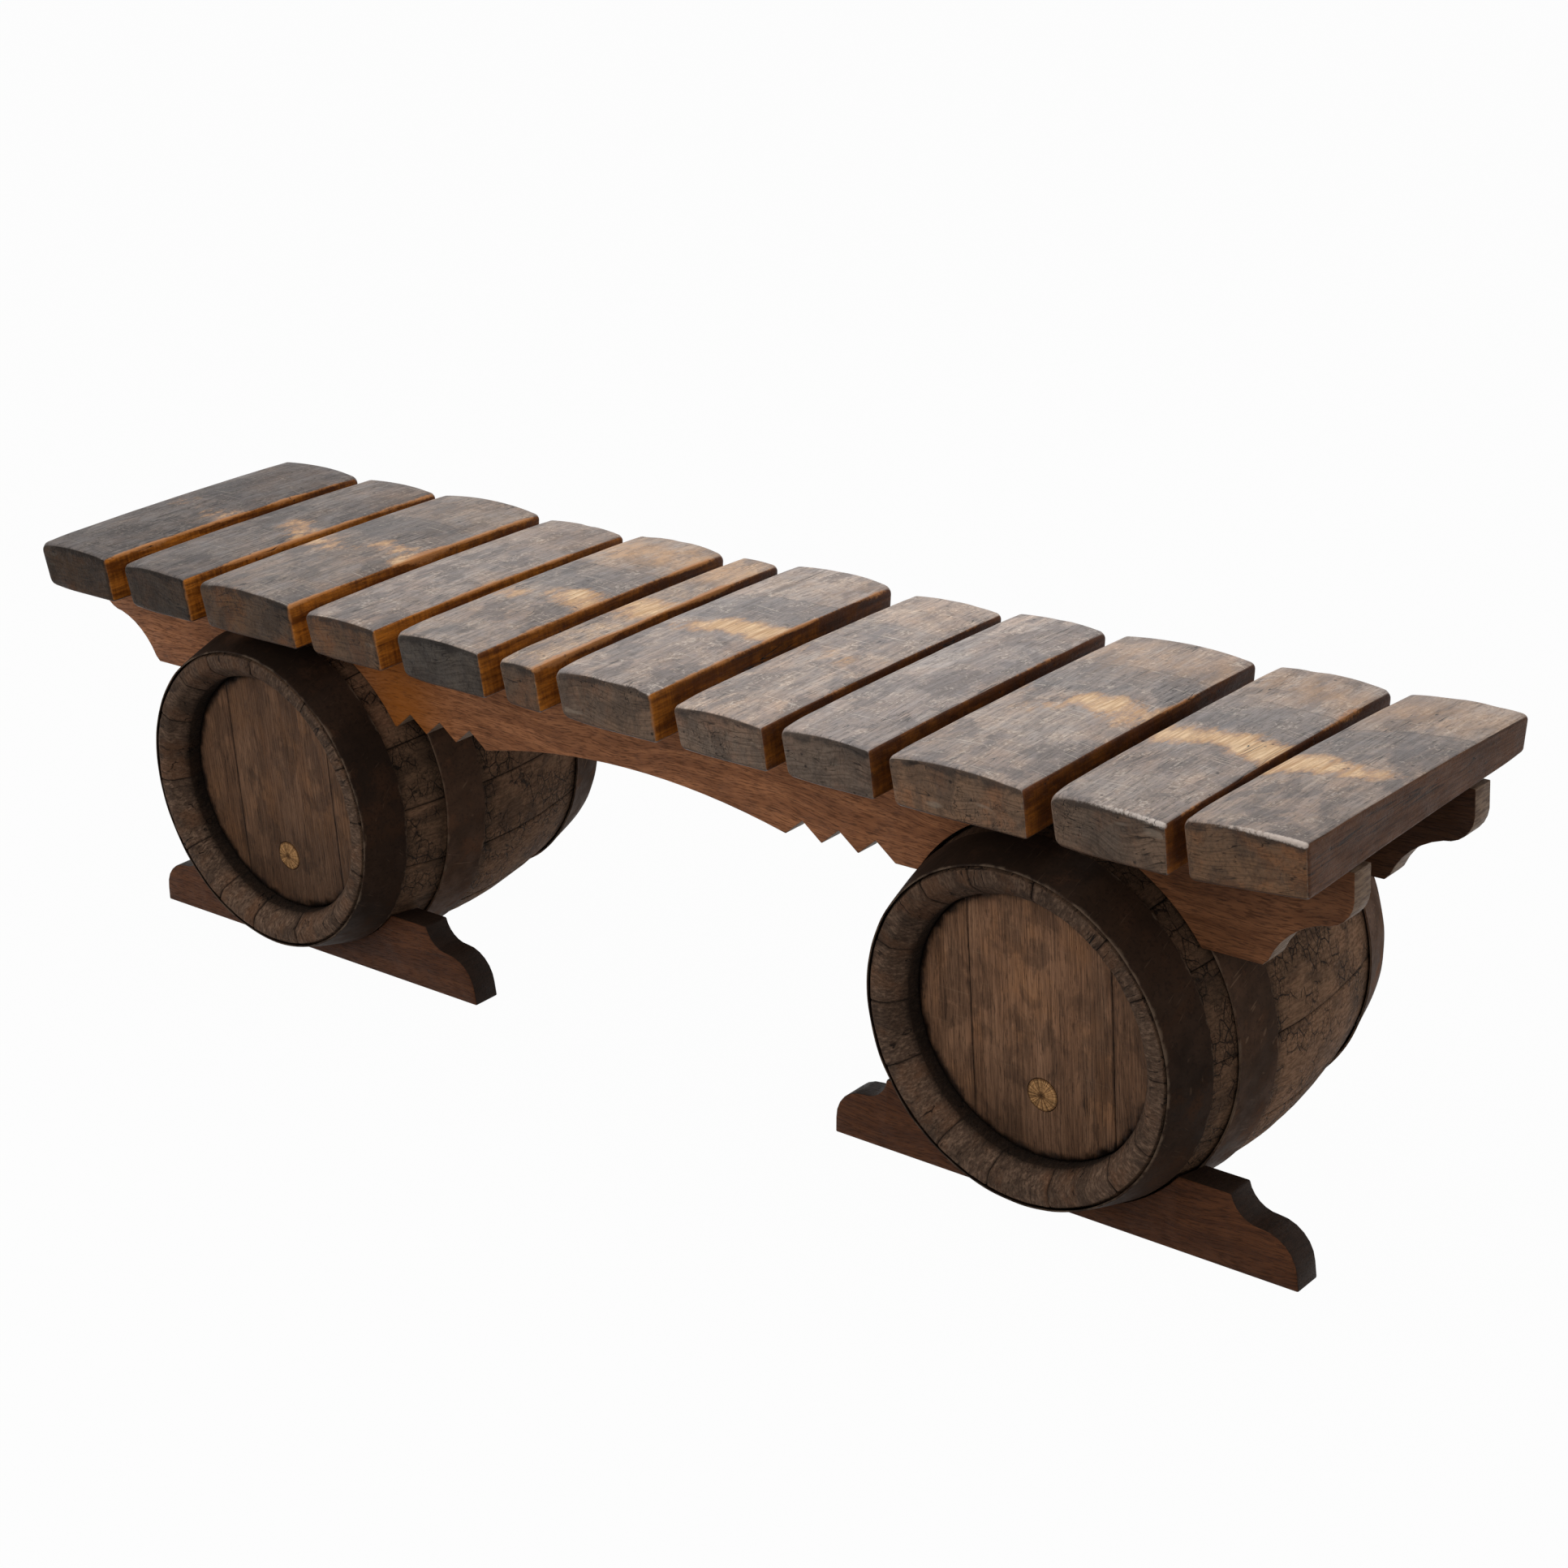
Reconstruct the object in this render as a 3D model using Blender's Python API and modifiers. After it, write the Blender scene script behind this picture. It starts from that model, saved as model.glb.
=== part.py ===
"""Barrel bench: twelve old cask staves laid as a slatted seat on two shaped rails, carried by two kegs.

The kegs lie on their sides on the floor with their heads to the front, and a shaped foot under the front
of each one stops it from rolling. Units are metres and +Z is up. X runs along the bench and Y from its
front to its back. The origin is on the floor, under the middle of the bench's bounding box.
"""
import math

import bmesh
import bpy
import numpy as np
from mathutils import Matrix, Vector

# Clearances
GAP = 0.0003                    # between pieces that touch
SADDLE_GAP = 0.0006             # between a keg and the timber that is cut to its curve

# Seat planks, from the left end of the bench to the right
PLANK_WIDTHS = (0.130, 0.116, 0.161, 0.119, 0.133, 0.057, 0.141, 0.122, 0.116, 0.162, 0.131, 0.130)
PLANK_SPACES = (0.030, 0.023, 0.022, 0.030, 0.027, 0.025, 0.027, 0.020, 0.020, 0.025, 0.016)
PLANK_THICKNESSES = (0.056, 0.055, 0.055, 0.051, 0.054, 0.053, 0.056, 0.050, 0.054, 0.053, 0.054, 0.060)
PLANK_FLARES = (0.014, 0.010, 0.0075, 0.006, 0.003, 0.0, 0.0, 0.0, 0.0, 0.0, 0.0, 0.0)  # more width at the rear
PLANK_LENGTH = 0.400
PLANK_BOW = 0.002               # rise of a plank's middle above its ends
PLANK_REAR_RISE = 0.008         # rise of its underside from front to rear
PLANK_CURVE_RADIUS = 0.55       # of the old cask, across a plank
PLANK_SIDE_SLOPE = 0.002        # each side leans in by this much at the underside
PLANK_END_SLOPE = 0.006         # each end leans in by this much at the underside
PLANK_EDGE = 0.004              # rounding of its edges
PLANK_STRIPS_ACROSS = 4
PLANK_STRIPS_ALONG = 4
LAST_PLANK_DIP = 0.010          # fall of the last plank's top from front to rear
LAST_PLANK_LEAN = 0.005         # rise of its top from left to right
LAST_PLANK_WANE = 0.012         # rise of its underside from left to right
SEAT_SHIFT = 0.0145             # middle of the seat, to the right of the middle of the rails

# Rails
RAIL_LENGTH = 1.790
RAIL_HEIGHT = 0.115
RAIL_THICKNESS = 0.029
RAIL_BRIDGE = 0.0107            # least wood left above a saddle over a keg
FRONT_RAIL_SET = 0.1195         # outer face of the front rail, from the middle of the kegs
REAR_RAIL_SET = 0.1265          # outer face of the rear rail, from the middle of the kegs
ARCH_SPAN = 0.443
ARCH_RISE = 0.0255
TOOTH_COUNT = 3
TOOTH_PITCH = 0.0485
TOOTH_DEPTH = 0.0195
RAIL_NOSE_DROP = 0.029          # straight part of a rail's end, down from its top
RAIL_NOSE_RUN = 0.033           # rounded nose, along the rail
RAIL_NOSE_FALL = 0.031          # rounded nose, down
RAIL_NOSE_SWELL = 0.0085        # how far the nose swells out from its chord
RAIL_COVE_RUN = 0.057           # hollow behind the nose, along the rail
RAIL_COVE_SWELL = 0.0085        # how far the hollow sinks in from its chord
RAIL_TOE = 0.006                # slanted corner under the hollow, down and along

# Kegs
KEG_SPACING = 1.110             # between the axes of the kegs
KEG_SHIFT = 0.009               # middle of the two kegs, to the right of the middle of the rails
KEG_INSET = 0.020               # front ends of the staves, behind the front of the seat
KEG_LENGTH = 0.393
KEG_BILGE_RADIUS = 0.2125
KEG_CHIME_RADIUS = 0.1775
LEFT_KEG_EXTRA_RADIUS = 0.005   # by which the left keg is stouter all along
KEG_CURVE = 1.8                 # power of the curve from the bilge to the ends, 2 for a parabola
STAVE_COUNT = 14
STAVE_VARIATION = 0.2           # share by which the widest staves pass the mean width
STAVE_THICKNESS = 0.040
STAVE_FACETS = 2                # flats across one stave
STAVE_STRIPS = 9                # straight runs along one stave
CHIME_EDGE = 0.0015             # broken outer corner of a chime
CHIME_LAND = 0.020              # flat end of a stave
CHIME_BEVEL_RUN = 0.020         # bevel from the land in to the lip around a head
HEAD_RECESS = 0.038             # depth of a head's face below the ends of the staves
HEAD_THICKNESS = 0.020
HEAD_LIP_RADIUS = 0.1437        # of the staves beside a head
CROZE_DEPTH = 0.006             # groove in the staves that holds a head
CROZE_WIDTH = 0.009
HEAD_JOINTS = (-0.077, 0.0935)  # joints between the boards of a front head, from its middle
HEAD_STEPS = 36

# Hoops
HOOP_THICKNESS = 0.0018
HOOP_STEPS = 40
HOOP_EDGE_INSET = 0.002         # from the ends of the staves to a chime hoop
CHIME_HOOP_WIDTH = 0.053
QUARTER_HOOP_WIDTH = 0.055
LEFT_QUARTER_HOOP_PLACE = 0.109     # from the front ends of the staves to the hoop
RIGHT_QUARTER_HOOP_PLACE = 0.087

# Tap plugs
PLUG_RADIUS = 0.018
PLUG_TAPER = 0.0015             # smaller radius of its inner end
LEFT_PLUG_DROP = 0.084          # below the middle of the head
RIGHT_PLUG_DROP = 0.073
RIGHT_PLUG_SHIFT = 0.007        # to the right of the middle of the head
PLUG_PROUD = 0.0015             # beyond the face of the head
PLUG_GAP = 0.0005               # around it in the tap hole
PLUG_STEPS = 24

# Feet
FOOT_PLACE = 0.0595             # front face of a foot, behind the front ends of the staves
FOOT_THICKNESS = 0.0345
FOOT_HEIGHT = 0.083
FOOT_LAND = 0.060               # flat top between the keg and the hollow
FOOT_COVE_RUN = 0.0325
FOOT_COVE_FALL = 0.027
FOOT_COVE_SWELL = 0.008
FOOT_NOSE_RUN = 0.040
FOOT_NOSE_SWELL = 0.011
FOOT_TOE_HEIGHT = 0.018         # upright end of a foot
FOOT_TOE_LEAN = 0.0015

# Arc resolution
SADDLE_STEPS = 96               # around a whole turn
ARCH_STEPS = 16
CURVE_STEPS = 6

# Worked out from the sizes above
SEAT_LENGTH = sum(PLANK_WIDTHS) + sum(PLANK_SPACES)
LEFT_EXTENT = min(-RAIL_LENGTH / 2, SEAT_SHIFT - SEAT_LENGTH / 2)
RIGHT_EXTENT = max(RAIL_LENGTH / 2, SEAT_SHIFT + SEAT_LENGTH / 2 + PLANK_FLARES[-1])
RAIL_X = -(LEFT_EXTENT + RIGHT_EXTENT) / 2
SEAT_X = RAIL_X + SEAT_SHIFT
KEG_X = {
    "left": RAIL_X + KEG_SHIFT - KEG_SPACING / 2,
    "right": RAIL_X + KEG_SHIFT + KEG_SPACING / 2,
}
EXTRA_RADIUS = {"left": LEFT_KEG_EXTRA_RADIUS, "right": 0.0}
QUARTER_HOOP_PLACE = {"left": LEFT_QUARTER_HOOP_PLACE, "right": RIGHT_QUARTER_HOOP_PLACE}
PLUG_PLACE = {
    "left": Vector((0.0, 0.0, -LEFT_PLUG_DROP)),
    "right": Vector((RIGHT_PLUG_SHIFT, 0.0, -RIGHT_PLUG_DROP)),
}
FRONT_EXTENT = min(0.0, KEG_INSET)             # from the front of the seat
BACK_EXTENT = max(PLANK_LENGTH, KEG_INSET + KEG_LENGTH)
SEAT_FRONT_Y = -(FRONT_EXTENT + BACK_EXTENT) / 2
SEAT_Y = SEAT_FRONT_Y + PLANK_LENGTH / 2
KEG_FRONT_Y = SEAT_FRONT_Y + KEG_INSET
KEG_MIDDLE_Y = KEG_FRONT_Y + KEG_LENGTH / 2


def keg_radius(side, depth):
    """Outer radius of a keg's wood on its smooth curve, at a depth from the front ends of its staves."""
    along = abs(2 * depth / KEG_LENGTH - 1)
    fall = (KEG_BILGE_RADIUS - KEG_CHIME_RADIUS) * along ** KEG_CURVE
    return KEG_BILGE_RADIUS + EXTRA_RADIUS[side] - fall


SKIN_DEPTHS = [KEG_LENGTH * step / STAVE_STRIPS for step in range(STAVE_STRIPS + 1)]
SKIN_RADII = {side: [keg_radius(side, depth) for depth in SKIN_DEPTHS] for side in KEG_X}
WIDEST_FACET = 2 * math.pi / STAVE_COUNT / STAVE_FACETS * (1 + STAVE_VARIATION)


def keg_skin(side, depth):
    """Outer radius of a keg's wood on the straight runs of its staves."""
    return float(np.interp(depth, SKIN_DEPTHS, SKIN_RADII[side]))


def hoop_bands(side):
    """Front and rear depth of each hoop of one keg, by the hoop's name."""
    quarter = QUARTER_HOOP_PLACE[side]
    rear = KEG_LENGTH - HOOP_EDGE_INSET
    return {
        "front_chime_hoop": (HOOP_EDGE_INSET, HOOP_EDGE_INSET + CHIME_HOOP_WIDTH),
        "quarter_hoop": (quarter, quarter + QUARTER_HOOP_WIDTH),
        "rear_chime_hoop": (rear - CHIME_HOOP_WIDTH, rear),
    }


def breaks_between(first, last):
    """Depths where the wood changes slope, strictly between two depths."""
    return [depth for depth in SKIN_DEPTHS if first < depth < last]


def hoop_inner_radius(side, depth):
    """Inner radius of a hoop at its corners, so that its flats clear the wood."""
    return (keg_skin(side, depth) + GAP) / math.cos(math.pi / HOOP_STEPS)


def keg_reach(side, depth):
    """Outer radius of one keg at a depth, on a hoop where there is one."""
    reach = keg_skin(side, depth)
    for first, last in hoop_bands(side).values():
        if first <= depth <= last:
            reach = max(reach, hoop_inner_radius(side, depth) + HOOP_THICKNESS)
    return reach


def keg_rest_height(side):
    """Height of a keg's axis when it lies on the floor, on its bilge or on the lowest flat of a hoop."""
    flat = math.cos(math.pi / HOOP_STEPS)
    lowest = max(SKIN_RADII[side])
    for first, last in hoop_bands(side).values():
        for depth in [first, last] + breaks_between(first, last):
            lowest = max(lowest, (hoop_inner_radius(side, depth) + HOOP_THICKNESS) * flat)
    return lowest


KEG_Z = {side: keg_rest_height(side) for side in KEG_X}


def saddle_radii(side, faces):
    """Front and rear radius of the tapered saddle in a timber that crosses one keg between two faces."""
    front, rear = (face - KEG_FRONT_Y for face in faces)
    hoop_edges = [edge for band in hoop_bands(side).values() for edge in band if front < edge < rear]
    depths = [front, rear] + breaks_between(front, rear) + hoop_edges
    slope = (keg_skin(side, rear) - keg_skin(side, front)) / (rear - front)
    base = max(keg_reach(side, depth) - slope * (depth - front) for depth in depths) + SADDLE_GAP
    corner = math.cos(math.pi / SADDLE_STEPS)
    return base / corner, (base + slope * (rear - front)) / corner


def plank_underside_rise(place_y):
    """Height of a plank's underside above that of its front end, at a place in Y."""
    shares = np.linspace(-1.0, 1.0, PLANK_STRIPS_ALONG + 1)
    places = shares * (PLANK_LENGTH / 2 - PLANK_END_SLOPE)
    rises = PLANK_BOW * (1 - shares ** 2) + PLANK_REAR_RISE * (1 + shares) / 2
    return float(np.interp(place_y - SEAT_Y, places, rises))


RAIL_FACES = {
    "front": (KEG_MIDDLE_Y - FRONT_RAIL_SET, KEG_MIDDLE_Y - FRONT_RAIL_SET + RAIL_THICKNESS),
    "rear": (KEG_MIDDLE_Y + REAR_RAIL_SET - RAIL_THICKNESS, KEG_MIDDLE_Y + REAR_RAIL_SET),
}


def seat_rise_over(faces):
    """Lowest rise of the planks' underside over one rail."""
    return min(plank_underside_rise(place) for place in faces)


def saddle_top_under_seat(faces):
    """Highest point of the saddles in one rail, less the rise of the seat over it."""
    return max(KEG_Z[side] + max(saddle_radii(side, faces)) for side in KEG_X) - seat_rise_over(faces)


PLANK_UNDERSIDE_Z = RAIL_BRIDGE + GAP + max(saddle_top_under_seat(faces) for faces in RAIL_FACES.values())
RAIL_TOP_Z = {name: PLANK_UNDERSIDE_Z + seat_rise_over(faces) - GAP for name, faces in RAIL_FACES.items()}
RAIL_BOTTOM_Z = {name: top - RAIL_HEIGHT for name, top in RAIL_TOP_Z.items()}


def clear_scene():
    """Start from an empty scene."""
    for item in list(bpy.data.objects):
        bpy.data.objects.remove(item, do_unlink=True)


def make_collection(name):
    """A collection in the scene."""
    collection = bpy.data.collections.new(name)
    bpy.context.scene.collection.children.link(collection)
    return collection


def make_material(name, colour, roughness, metallic=0.0):
    """A plain Principled material."""
    material = bpy.data.materials.new(name)
    material.use_nodes = True
    shader = material.node_tree.nodes["Principled BSDF"]
    shader.inputs["Base Color"].default_value = (*colour, 1.0)
    shader.inputs["Roughness"].default_value = roughness
    shader.inputs["Metallic"].default_value = metallic
    return material


def add_mesh(name, bm, material, collection, place=(0.0, 0.0, 0.0)):
    """Make an object of a finished bmesh, with its faces pointing out."""
    bmesh.ops.recalc_face_normals(bm, faces=bm.faces)
    mesh = bpy.data.meshes.new(name)
    bm.to_mesh(mesh)
    bm.free()
    mesh.shade_smooth()
    mesh.set_sharp_from_angle(angle=math.radians(30.0))
    if material:
        mesh.materials.append(material)
    item = bpy.data.objects.new(name, mesh)
    item.location = place
    collection.objects.link(item)
    return item


def whole(bm):
    """All geometry of a bmesh."""
    return bm.verts[:] + bm.edges[:] + bm.faces[:]


def add_profile(bm, points, closed):
    """Edges through points given as radius and depth, in the plane of X and Y."""
    corners = [bm.verts.new((radius, depth, 0.0)) for radius, depth in points]
    pairs = list(zip(corners, corners[1:]))
    if closed:
        pairs.append((corners[-1], corners[0]))
    return corners + [bm.edges.new(pair) for pair in pairs]


def turned(points, closed, steps):
    """A full turn of a profile about the keg's axis. An open profile starts and ends on that axis."""
    bm = bmesh.new()
    profile = add_profile(bm, points, closed)
    bmesh.ops.spin(
        bm, geom=profile, axis=(0.0, -1.0, 0.0), cent=(0.0, 0.0, 0.0),
        angle=2 * math.pi, steps=steps, use_merge=True,
    )
    bmesh.ops.remove_doubles(bm, verts=bm.verts, dist=0.00001)
    return bm


def arc_between(start, end, swell, steps):
    """Points of a circular arc after its start, swelling to the left of the way from start to end."""
    start = Vector(start)
    chord = Vector(end) - start
    along = chord.normalized()
    left = Vector((-along.y, along.x))
    half_angle = 2 * math.atan(2 * swell / chord.length)
    radius = chord.length / 2 / math.sin(half_angle)
    middle = start + chord / 2
    points = []
    for step in range(1, steps + 1):
        angle = half_angle * (2 * step / steps - 1)
        offset = radius * (math.cos(angle) - math.cos(half_angle))
        points.append(tuple(middle + along * radius * math.sin(angle) + left * offset))
    return points


def add_board(name, outline, thickness, place, material, collection):
    """A flat board standing on edge: an outline in X and Z, with its thickness along Y."""
    curve = bpy.data.curves.new(name, "CURVE")
    curve.dimensions = "2D"
    curve.fill_mode = "BOTH"
    curve.extrude = thickness / 2
    spline = curve.splines.new("POLY")
    spline.points.add(len(outline) - 1)
    for point, (across, up) in zip(spline.points, outline):
        point.co = (across, up, 0.0, 1.0)
    spline.use_cyclic_u = True
    drawn = bpy.data.objects.new(f"{name}_outline", curve)
    drawn.location = place
    drawn.rotation_euler = (math.pi / 2, 0.0, 0.0)
    collection.objects.link(drawn)
    bpy.context.view_layer.update()
    evaluated = drawn.evaluated_get(bpy.context.evaluated_depsgraph_get())
    bm = bmesh.new()
    bm.from_mesh(bpy.data.meshes.new_from_object(evaluated))
    bmesh.ops.remove_doubles(bm, verts=bm.verts, dist=0.00001)
    board = add_mesh(name, bm, material, collection)
    board.matrix_world = drawn.matrix_world
    bpy.data.objects.remove(drawn, do_unlink=True)
    return board


def cut(item, cutter):
    """Take one solid away from another."""
    modifier = item.modifiers.new(cutter.name, "BOOLEAN")
    modifier.operation = "DIFFERENCE"
    modifier.object = cutter


def add_cone_cutter(name, place, radii, faces, steps, collection):
    """Hidden cone along Y, with given radii at two places in Y, that runs on past both of them."""
    front, rear = faces
    overrun = rear - front
    slope = (radii[1] - radii[0]) / (rear - front)
    bm = bmesh.new()
    middle = Vector((0.0, (front + rear) / 2, 0.0))
    bmesh.ops.create_cone(
        bm, cap_ends=True, segments=steps, radius1=radii[1] + slope * overrun, radius2=radii[0] - slope * overrun,
        depth=rear - front + 2 * overrun, matrix=Matrix.Translation(middle) @ Matrix.Rotation(math.pi / 2, 4, "X"),
    )
    cutter = add_mesh(name, bm, None, collection, place)
    cutter.hide_render = True
    cutter.display_type = "WIRE"
    return cutter


def cut_saddle(board, side, faces, cutters):
    """Cut the saddle for one keg in a board that crosses it."""
    name = f"{board.name}_saddle_{side}"
    place = (KEG_X[side], 0.0, KEG_Z[side])
    cut(board, add_cone_cutter(name, place, saddle_radii(side, faces), faces, SADDLE_STEPS, cutters))


def mirrored(points):
    """The same outline on the other side of X = 0, in reverse order."""
    return [(-across, up) for across, up in reversed(points)]


def add_plank(name, width, thickness, flare, twist, place_x, material, collection):
    """One seat plank: crowned across, bowed along, thinner to the rear, with sides and ends that lean in below.

    The twist is the dip and the lean of its top, and the wane of its underside.
    """
    dip, lean, wane = twist
    bm = bmesh.new()
    size = Matrix.Diagonal((width, PLANK_LENGTH, thickness, 1.0))
    bmesh.ops.create_cube(bm, size=1.0, matrix=size)
    cuts = ((Vector((1, 0, 0)), width, PLANK_STRIPS_ACROSS), (Vector((0, 1, 0)), PLANK_LENGTH, PLANK_STRIPS_ALONG))
    for axis, length, strips in cuts:
        for strip in range(1, strips):
            place = axis * length * (strip / strips - 0.5)
            bmesh.ops.bisect_plane(bm, geom=whole(bm), plane_co=place, plane_no=axis)
    crown = width ** 2 / (8 * PLANK_CURVE_RADIUS)
    for corner in bm.verts:
        across = 2 * corner.co.x / width
        along = 2 * corner.co.y / PLANK_LENGTH
        if corner.co.z > 0:
            corner.co.z += crown * (1 - across ** 2) - dip * along / 2 + lean * across / 2
        else:
            corner.co.x -= across * PLANK_SIDE_SLOPE
            corner.co.y -= along * PLANK_END_SLOPE
            corner.co.z += PLANK_REAR_RISE * (1 + along) / 2 + wane * (1 + across) / 2
        corner.co.x += flare * (1 + along) / 2 * (1 + across) / 2
        corner.co.z += PLANK_BOW * (1 - along ** 2)
    place_z = PLANK_UNDERSIDE_Z + thickness / 2
    plank = add_mesh(name, bm, material, collection, (place_x, SEAT_Y, place_z))
    rounding = plank.modifiers.new("rounded_edges", "BEVEL")
    rounding.width = PLANK_EDGE
    rounding.segments = 1
    rounding.limit_method = "ANGLE"
    rounding.angle_limit = math.radians(40.0)
    return plank


def add_seat(material, collection):
    """The twelve planks, each after the space that follows the one before it. Only the last is twisted."""
    edge = SEAT_X - SEAT_LENGTH / 2
    for number, (width, thickness, flare) in enumerate(zip(PLANK_WIDTHS, PLANK_THICKNESSES, PLANK_FLARES)):
        last = number == len(PLANK_SPACES)
        twist = (LAST_PLANK_DIP, LAST_PLANK_LEAN, LAST_PLANK_WANE) if last else (0.0, 0.0, 0.0)
        name = f"seat_plank_{number + 1:02d}"
        add_plank(name, width, thickness, flare, twist, edge + width / 2, material, collection)
        if not last:
            edge += width + PLANK_SPACES[number]


def rail_end(which):
    """Right end of a rail, from its bottom up: toe, hollow, rounded nose and upright end."""
    top = RAIL_TOP_Z[which]
    bottom = RAIL_BOTTOM_Z[which]
    end = RAIL_LENGTH / 2
    nose_top = (end, top - RAIL_NOSE_DROP)
    cusp = (end - RAIL_NOSE_RUN, nose_top[1] - RAIL_NOSE_FALL)
    cove_foot = (cusp[0] - RAIL_COVE_RUN, bottom + RAIL_TOE)
    toe = (cove_foot[0] - RAIL_TOE, bottom)
    points = [toe, cove_foot]
    points += arc_between(cove_foot, cusp, RAIL_COVE_SWELL, CURVE_STEPS)
    points += arc_between(cusp, nose_top, -RAIL_NOSE_SWELL, CURVE_STEPS)
    points.append((end, top))
    return points


def rail_teeth(which):
    """Row of teeth right of a rail's arch, from left to right."""
    bottom = RAIL_BOTTOM_Z[which]
    points = [(ARCH_SPAN / 2, bottom)]
    for tooth in range(TOOTH_COUNT):
        left = ARCH_SPAN / 2 + tooth * TOOTH_PITCH
        points.append((left + TOOTH_PITCH / 2, bottom + TOOTH_DEPTH))
        points.append((left + TOOTH_PITCH, bottom))
    return points


def add_rail(which, material, collection, cutters):
    """One rail: shaped ends, a saddle over each keg, and teeth on both sides of a low arch."""
    faces = RAIL_FACES[which]
    end = rail_end(which)
    teeth = rail_teeth(which)
    arch = arc_between(mirrored(teeth)[-1], teeth[0], ARCH_RISE, ARCH_STEPS)[:-1]
    outline = mirrored(end) + mirrored(teeth) + arch + teeth + end
    place = (RAIL_X, sum(faces) / 2, 0.0)
    rail = add_board(f"{which}_rail", outline, RAIL_THICKNESS, place, material, collection)
    for side in KEG_X:
        cut_saddle(rail, side, faces, cutters)


def add_foot(side, material, collection, cutters):
    """The shaped foot under the front of one keg, with a saddle that cradles it."""
    front_y = KEG_FRONT_Y + FOOT_PLACE
    faces = (front_y, front_y + FOOT_THICKNESS)
    saddle_edge = math.sqrt(saddle_radii(side, faces)[0] ** 2 - (KEG_Z[side] - FOOT_HEIGHT) ** 2)
    cove_top = (saddle_edge + FOOT_LAND, FOOT_HEIGHT)
    cusp = (cove_top[0] + FOOT_COVE_RUN, FOOT_HEIGHT - FOOT_COVE_FALL)
    toe = (cusp[0] + FOOT_NOSE_RUN, FOOT_TOE_HEIGHT)
    end = [(toe[0] + FOOT_TOE_LEAN, 0.0), toe]
    end += arc_between(toe, cusp, -FOOT_NOSE_SWELL, CURVE_STEPS)
    end += arc_between(cusp, cove_top, FOOT_COVE_SWELL, CURVE_STEPS)
    place = (KEG_X[side], sum(faces) / 2, 0.0)
    foot = add_board(f"{side}_foot", end + mirrored(end), FOOT_THICKNESS, place, material, collection)
    cut_saddle(foot, side, faces, cutters)


def chime_profile(side):
    """Inner side of a stave's front end, from its outer corner to behind the groove for the head."""
    chime = KEG_CHIME_RADIUS + EXTRA_RADIUS[side]
    lip = HEAD_LIP_RADIUS + EXTRA_RADIUS[side]
    groove = HEAD_RECESS + (HEAD_THICKNESS - CROZE_WIDTH) / 2
    return [
        (chime - CHIME_EDGE, 0.0),
        (chime - CHIME_LAND, 0.0),
        (lip, CHIME_BEVEL_RUN),
        (lip, groove),
        (lip + CROZE_DEPTH, groove),
        (lip + CROZE_DEPTH, groove + CROZE_WIDTH),
        (lip, groove + CROZE_WIDTH),
    ]


def stave_profile(side):
    """Section of a stave along the keg, as radius and depth: its inner side, then its outer side."""
    front = chime_profile(side)
    rear = [(radius, KEG_LENGTH - depth) for radius, depth in reversed(front)]
    lip, clear = front[-1]
    inside = [depth for depth in SKIN_DEPTHS if clear < depth < KEG_LENGTH - clear]
    inner = [(max(keg_skin(side, depth) - STAVE_THICKNESS, lip), depth) for depth in inside]
    skin = list(zip(SKIN_RADII[side], SKIN_DEPTHS))[1:-1]
    corner = keg_skin(side, CHIME_EDGE)
    outer = [(corner, CHIME_EDGE)] + skin + [(corner, KEG_LENGTH - CHIME_EDGE)]
    return front + inner + rear + outer[::-1]


def stave_widths(rhythm):
    """Angle of each stave around a keg. The first one lies on the floor and has the mean width."""
    mean = 2 * math.pi / STAVE_COUNT
    turns = [2 * math.pi * rhythm * number / STAVE_COUNT for number in range(STAVE_COUNT)]
    return [mean * (1 + STAVE_VARIATION * math.sin(turn)) for turn in turns]


def add_staves(side, rhythm, place, material, collection):
    """The staves of one keg, each a part of a turn, side by side."""
    points = stave_profile(side)
    seam = GAP / KEG_CHIME_RADIUS
    widths = stave_widths(rhythm)
    start = -math.pi / 2 - widths[0] / 2
    for number, width in enumerate(widths):
        bm = bmesh.new()
        profile = add_profile(bm, points, closed=True)
        turn = Matrix.Rotation(-(start + seam / 2), 4, "Y")
        bmesh.ops.transform(bm, matrix=turn, verts=bm.verts)
        bmesh.ops.spin(
            bm, geom=profile, axis=(0.0, -1.0, 0.0), cent=(0.0, 0.0, 0.0),
            angle=width - seam, steps=STAVE_FACETS,
        )
        bmesh.ops.holes_fill(bm, edges=bm.edges, sides=0)
        add_mesh(f"{side}_keg_stave_{number + 1:02d}", bm, material, collection, place)
        start += width


def add_hoops(side, place, material, collection):
    """The hoops of one keg, which follow the slope of its wood."""
    for name, (first, last) in hoop_bands(side).items():
        depths = [first] + breaks_between(first, last) + [last]
        inner = [(hoop_inner_radius(side, depth), depth) for depth in depths]
        outer = [(radius + HOOP_THICKNESS, depth) for radius, depth in reversed(inner)]
        bm = turned(inner + outer, True, HOOP_STEPS)
        flat_down = Matrix.Rotation(math.pi / 2 - math.pi / HOOP_STEPS, 4, "Y")
        bmesh.ops.transform(bm, matrix=flat_down, verts=bm.verts)
        add_mesh(f"{side}_keg_{name}", bm, material, collection, place)


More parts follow.
